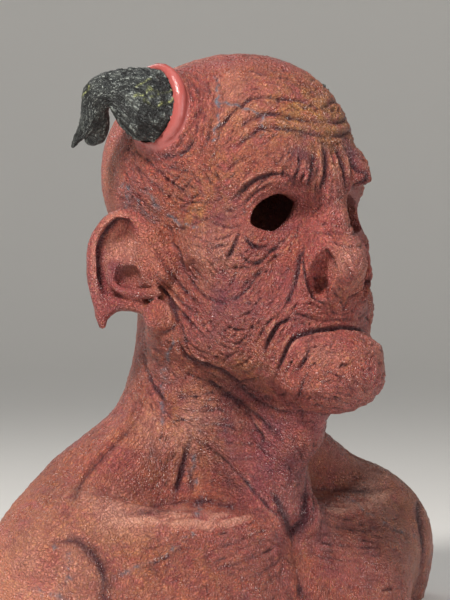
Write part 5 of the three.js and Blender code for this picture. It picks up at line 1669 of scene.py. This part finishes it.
class DEVIL_MASK_OT_stage(bpy.types.Operator):
    """Sets up the floor, the lights and the camera"""

    bl_idname = "devil_mask.stage"
    bl_label = "Add stage"

    def execute(self, context):
        settings = context.scene.devil_mask_stage
        sweep = bpy.data.objects.new("studio_sweep", sweep_mesh())
        context.scene.collection.objects.link(sweep)
        sweep.data.materials.append(studio_paper(settings))

        for name, place, size, power, colour in (
            ("key", around(-74, 50, 1.9), 0.45, 40, (1.0, 0.965, 0.93)),
            ("front", around(4, 12, 2.2), 1.2, 14, (0.95, 0.97, 1.0)),
            ("side", around(-45, 5, 2.2), 1.5, 10, (1.0, 0.98, 0.96)),
            ("rim", around(165, 45, 2.0), 0.8, 4, (1.0, 0.98, 0.96)),
            ("top", (0.0, 0.0, 2.6), 2.0, 8, (1.0, 1.0, 1.0)),
        ):
            soft_light(name, place, size, power, colour)
        world = bpy.data.worlds.new("Studio")
        world.use_nodes = True
        world.node_tree.nodes["Background"].inputs[0].default_value = (0.9, 0.9, 0.9, 1)
        world.node_tree.nodes["Background"].inputs[1].default_value = 0.06
        context.scene.world = world
        context.scene.view_settings.view_transform = "Standard"

        back = around(math.degrees(CAMERA_AZIMUTH), math.degrees(CAMERA_ELEVATION), 1)
        right = Vector((math.cos(CAMERA_AZIMUTH), math.sin(CAMERA_AZIMUTH), 0))
        camera = bpy.data.objects.new("camera", bpy.data.cameras.new("camera"))
        camera.location = CAMERA_AIM + right * CAMERA_ASIDE + back * settings.distance
        camera.rotation_mode = "QUATERNION"
        camera.rotation_quaternion = (-back).to_track_quat("-Z", "Y")
        camera.data.sensor_fit = "VERTICAL"
        camera.data.sensor_height = SENSOR_HEIGHT
        camera.data.lens = SENSOR_HEIGHT * settings.distance / PHOTO_HEIGHT
        context.scene.collection.objects.link(camera)
        context.scene.camera = camera
        return {"FINISHED"}


class DEVIL_MASK_PT_panel(bpy.types.Panel):
    """Lists what the mask is made of"""

    bl_idname = "DEVIL_MASK_PT_panel"
    bl_label = "Devil mask"
    bl_space_type = "VIEW_3D"
    bl_region_type = "UI"
    bl_category = "Devil mask"

    def draw(self, context):
        for group, operator in (
            (context.scene.devil_mask_skin, DEVIL_MASK_OT_skin),
            (context.scene.devil_mask_horns, DEVIL_MASK_OT_horns),
            (context.scene.devil_mask_stage, DEVIL_MASK_OT_stage),
        ):
            box = self.layout.box()
            for name in group.__annotations__:
                box.prop(group, name)
            box.operator(operator.bl_idname)


CLASSES = (
    SkinSettings, HornSettings, StageSettings,
    DEVIL_MASK_OT_skin, DEVIL_MASK_OT_horns, DEVIL_MASK_OT_stage, DEVIL_MASK_PT_panel,
)


def register():
    for kind in CLASSES:
        bpy.utils.register_class(kind)
    bpy.types.Scene.devil_mask_skin = bpy.props.PointerProperty(type=SkinSettings)
    bpy.types.Scene.devil_mask_horns = bpy.props.PointerProperty(type=HornSettings)
    bpy.types.Scene.devil_mask_stage = bpy.props.PointerProperty(type=StageSettings)


def unregister():
    for name in ("devil_mask_skin", "devil_mask_horns", "devil_mask_stage"):
        delattr(bpy.types.Scene, name)
    for kind in reversed(CLASSES):
        bpy.utils.unregister_class(kind)


def main():
    register()
    bpy.ops.devil_mask.skin()
    bpy.ops.devil_mask.horns()
    bpy.ops.devil_mask.stage()


if __name__ == "__main__":
    main()
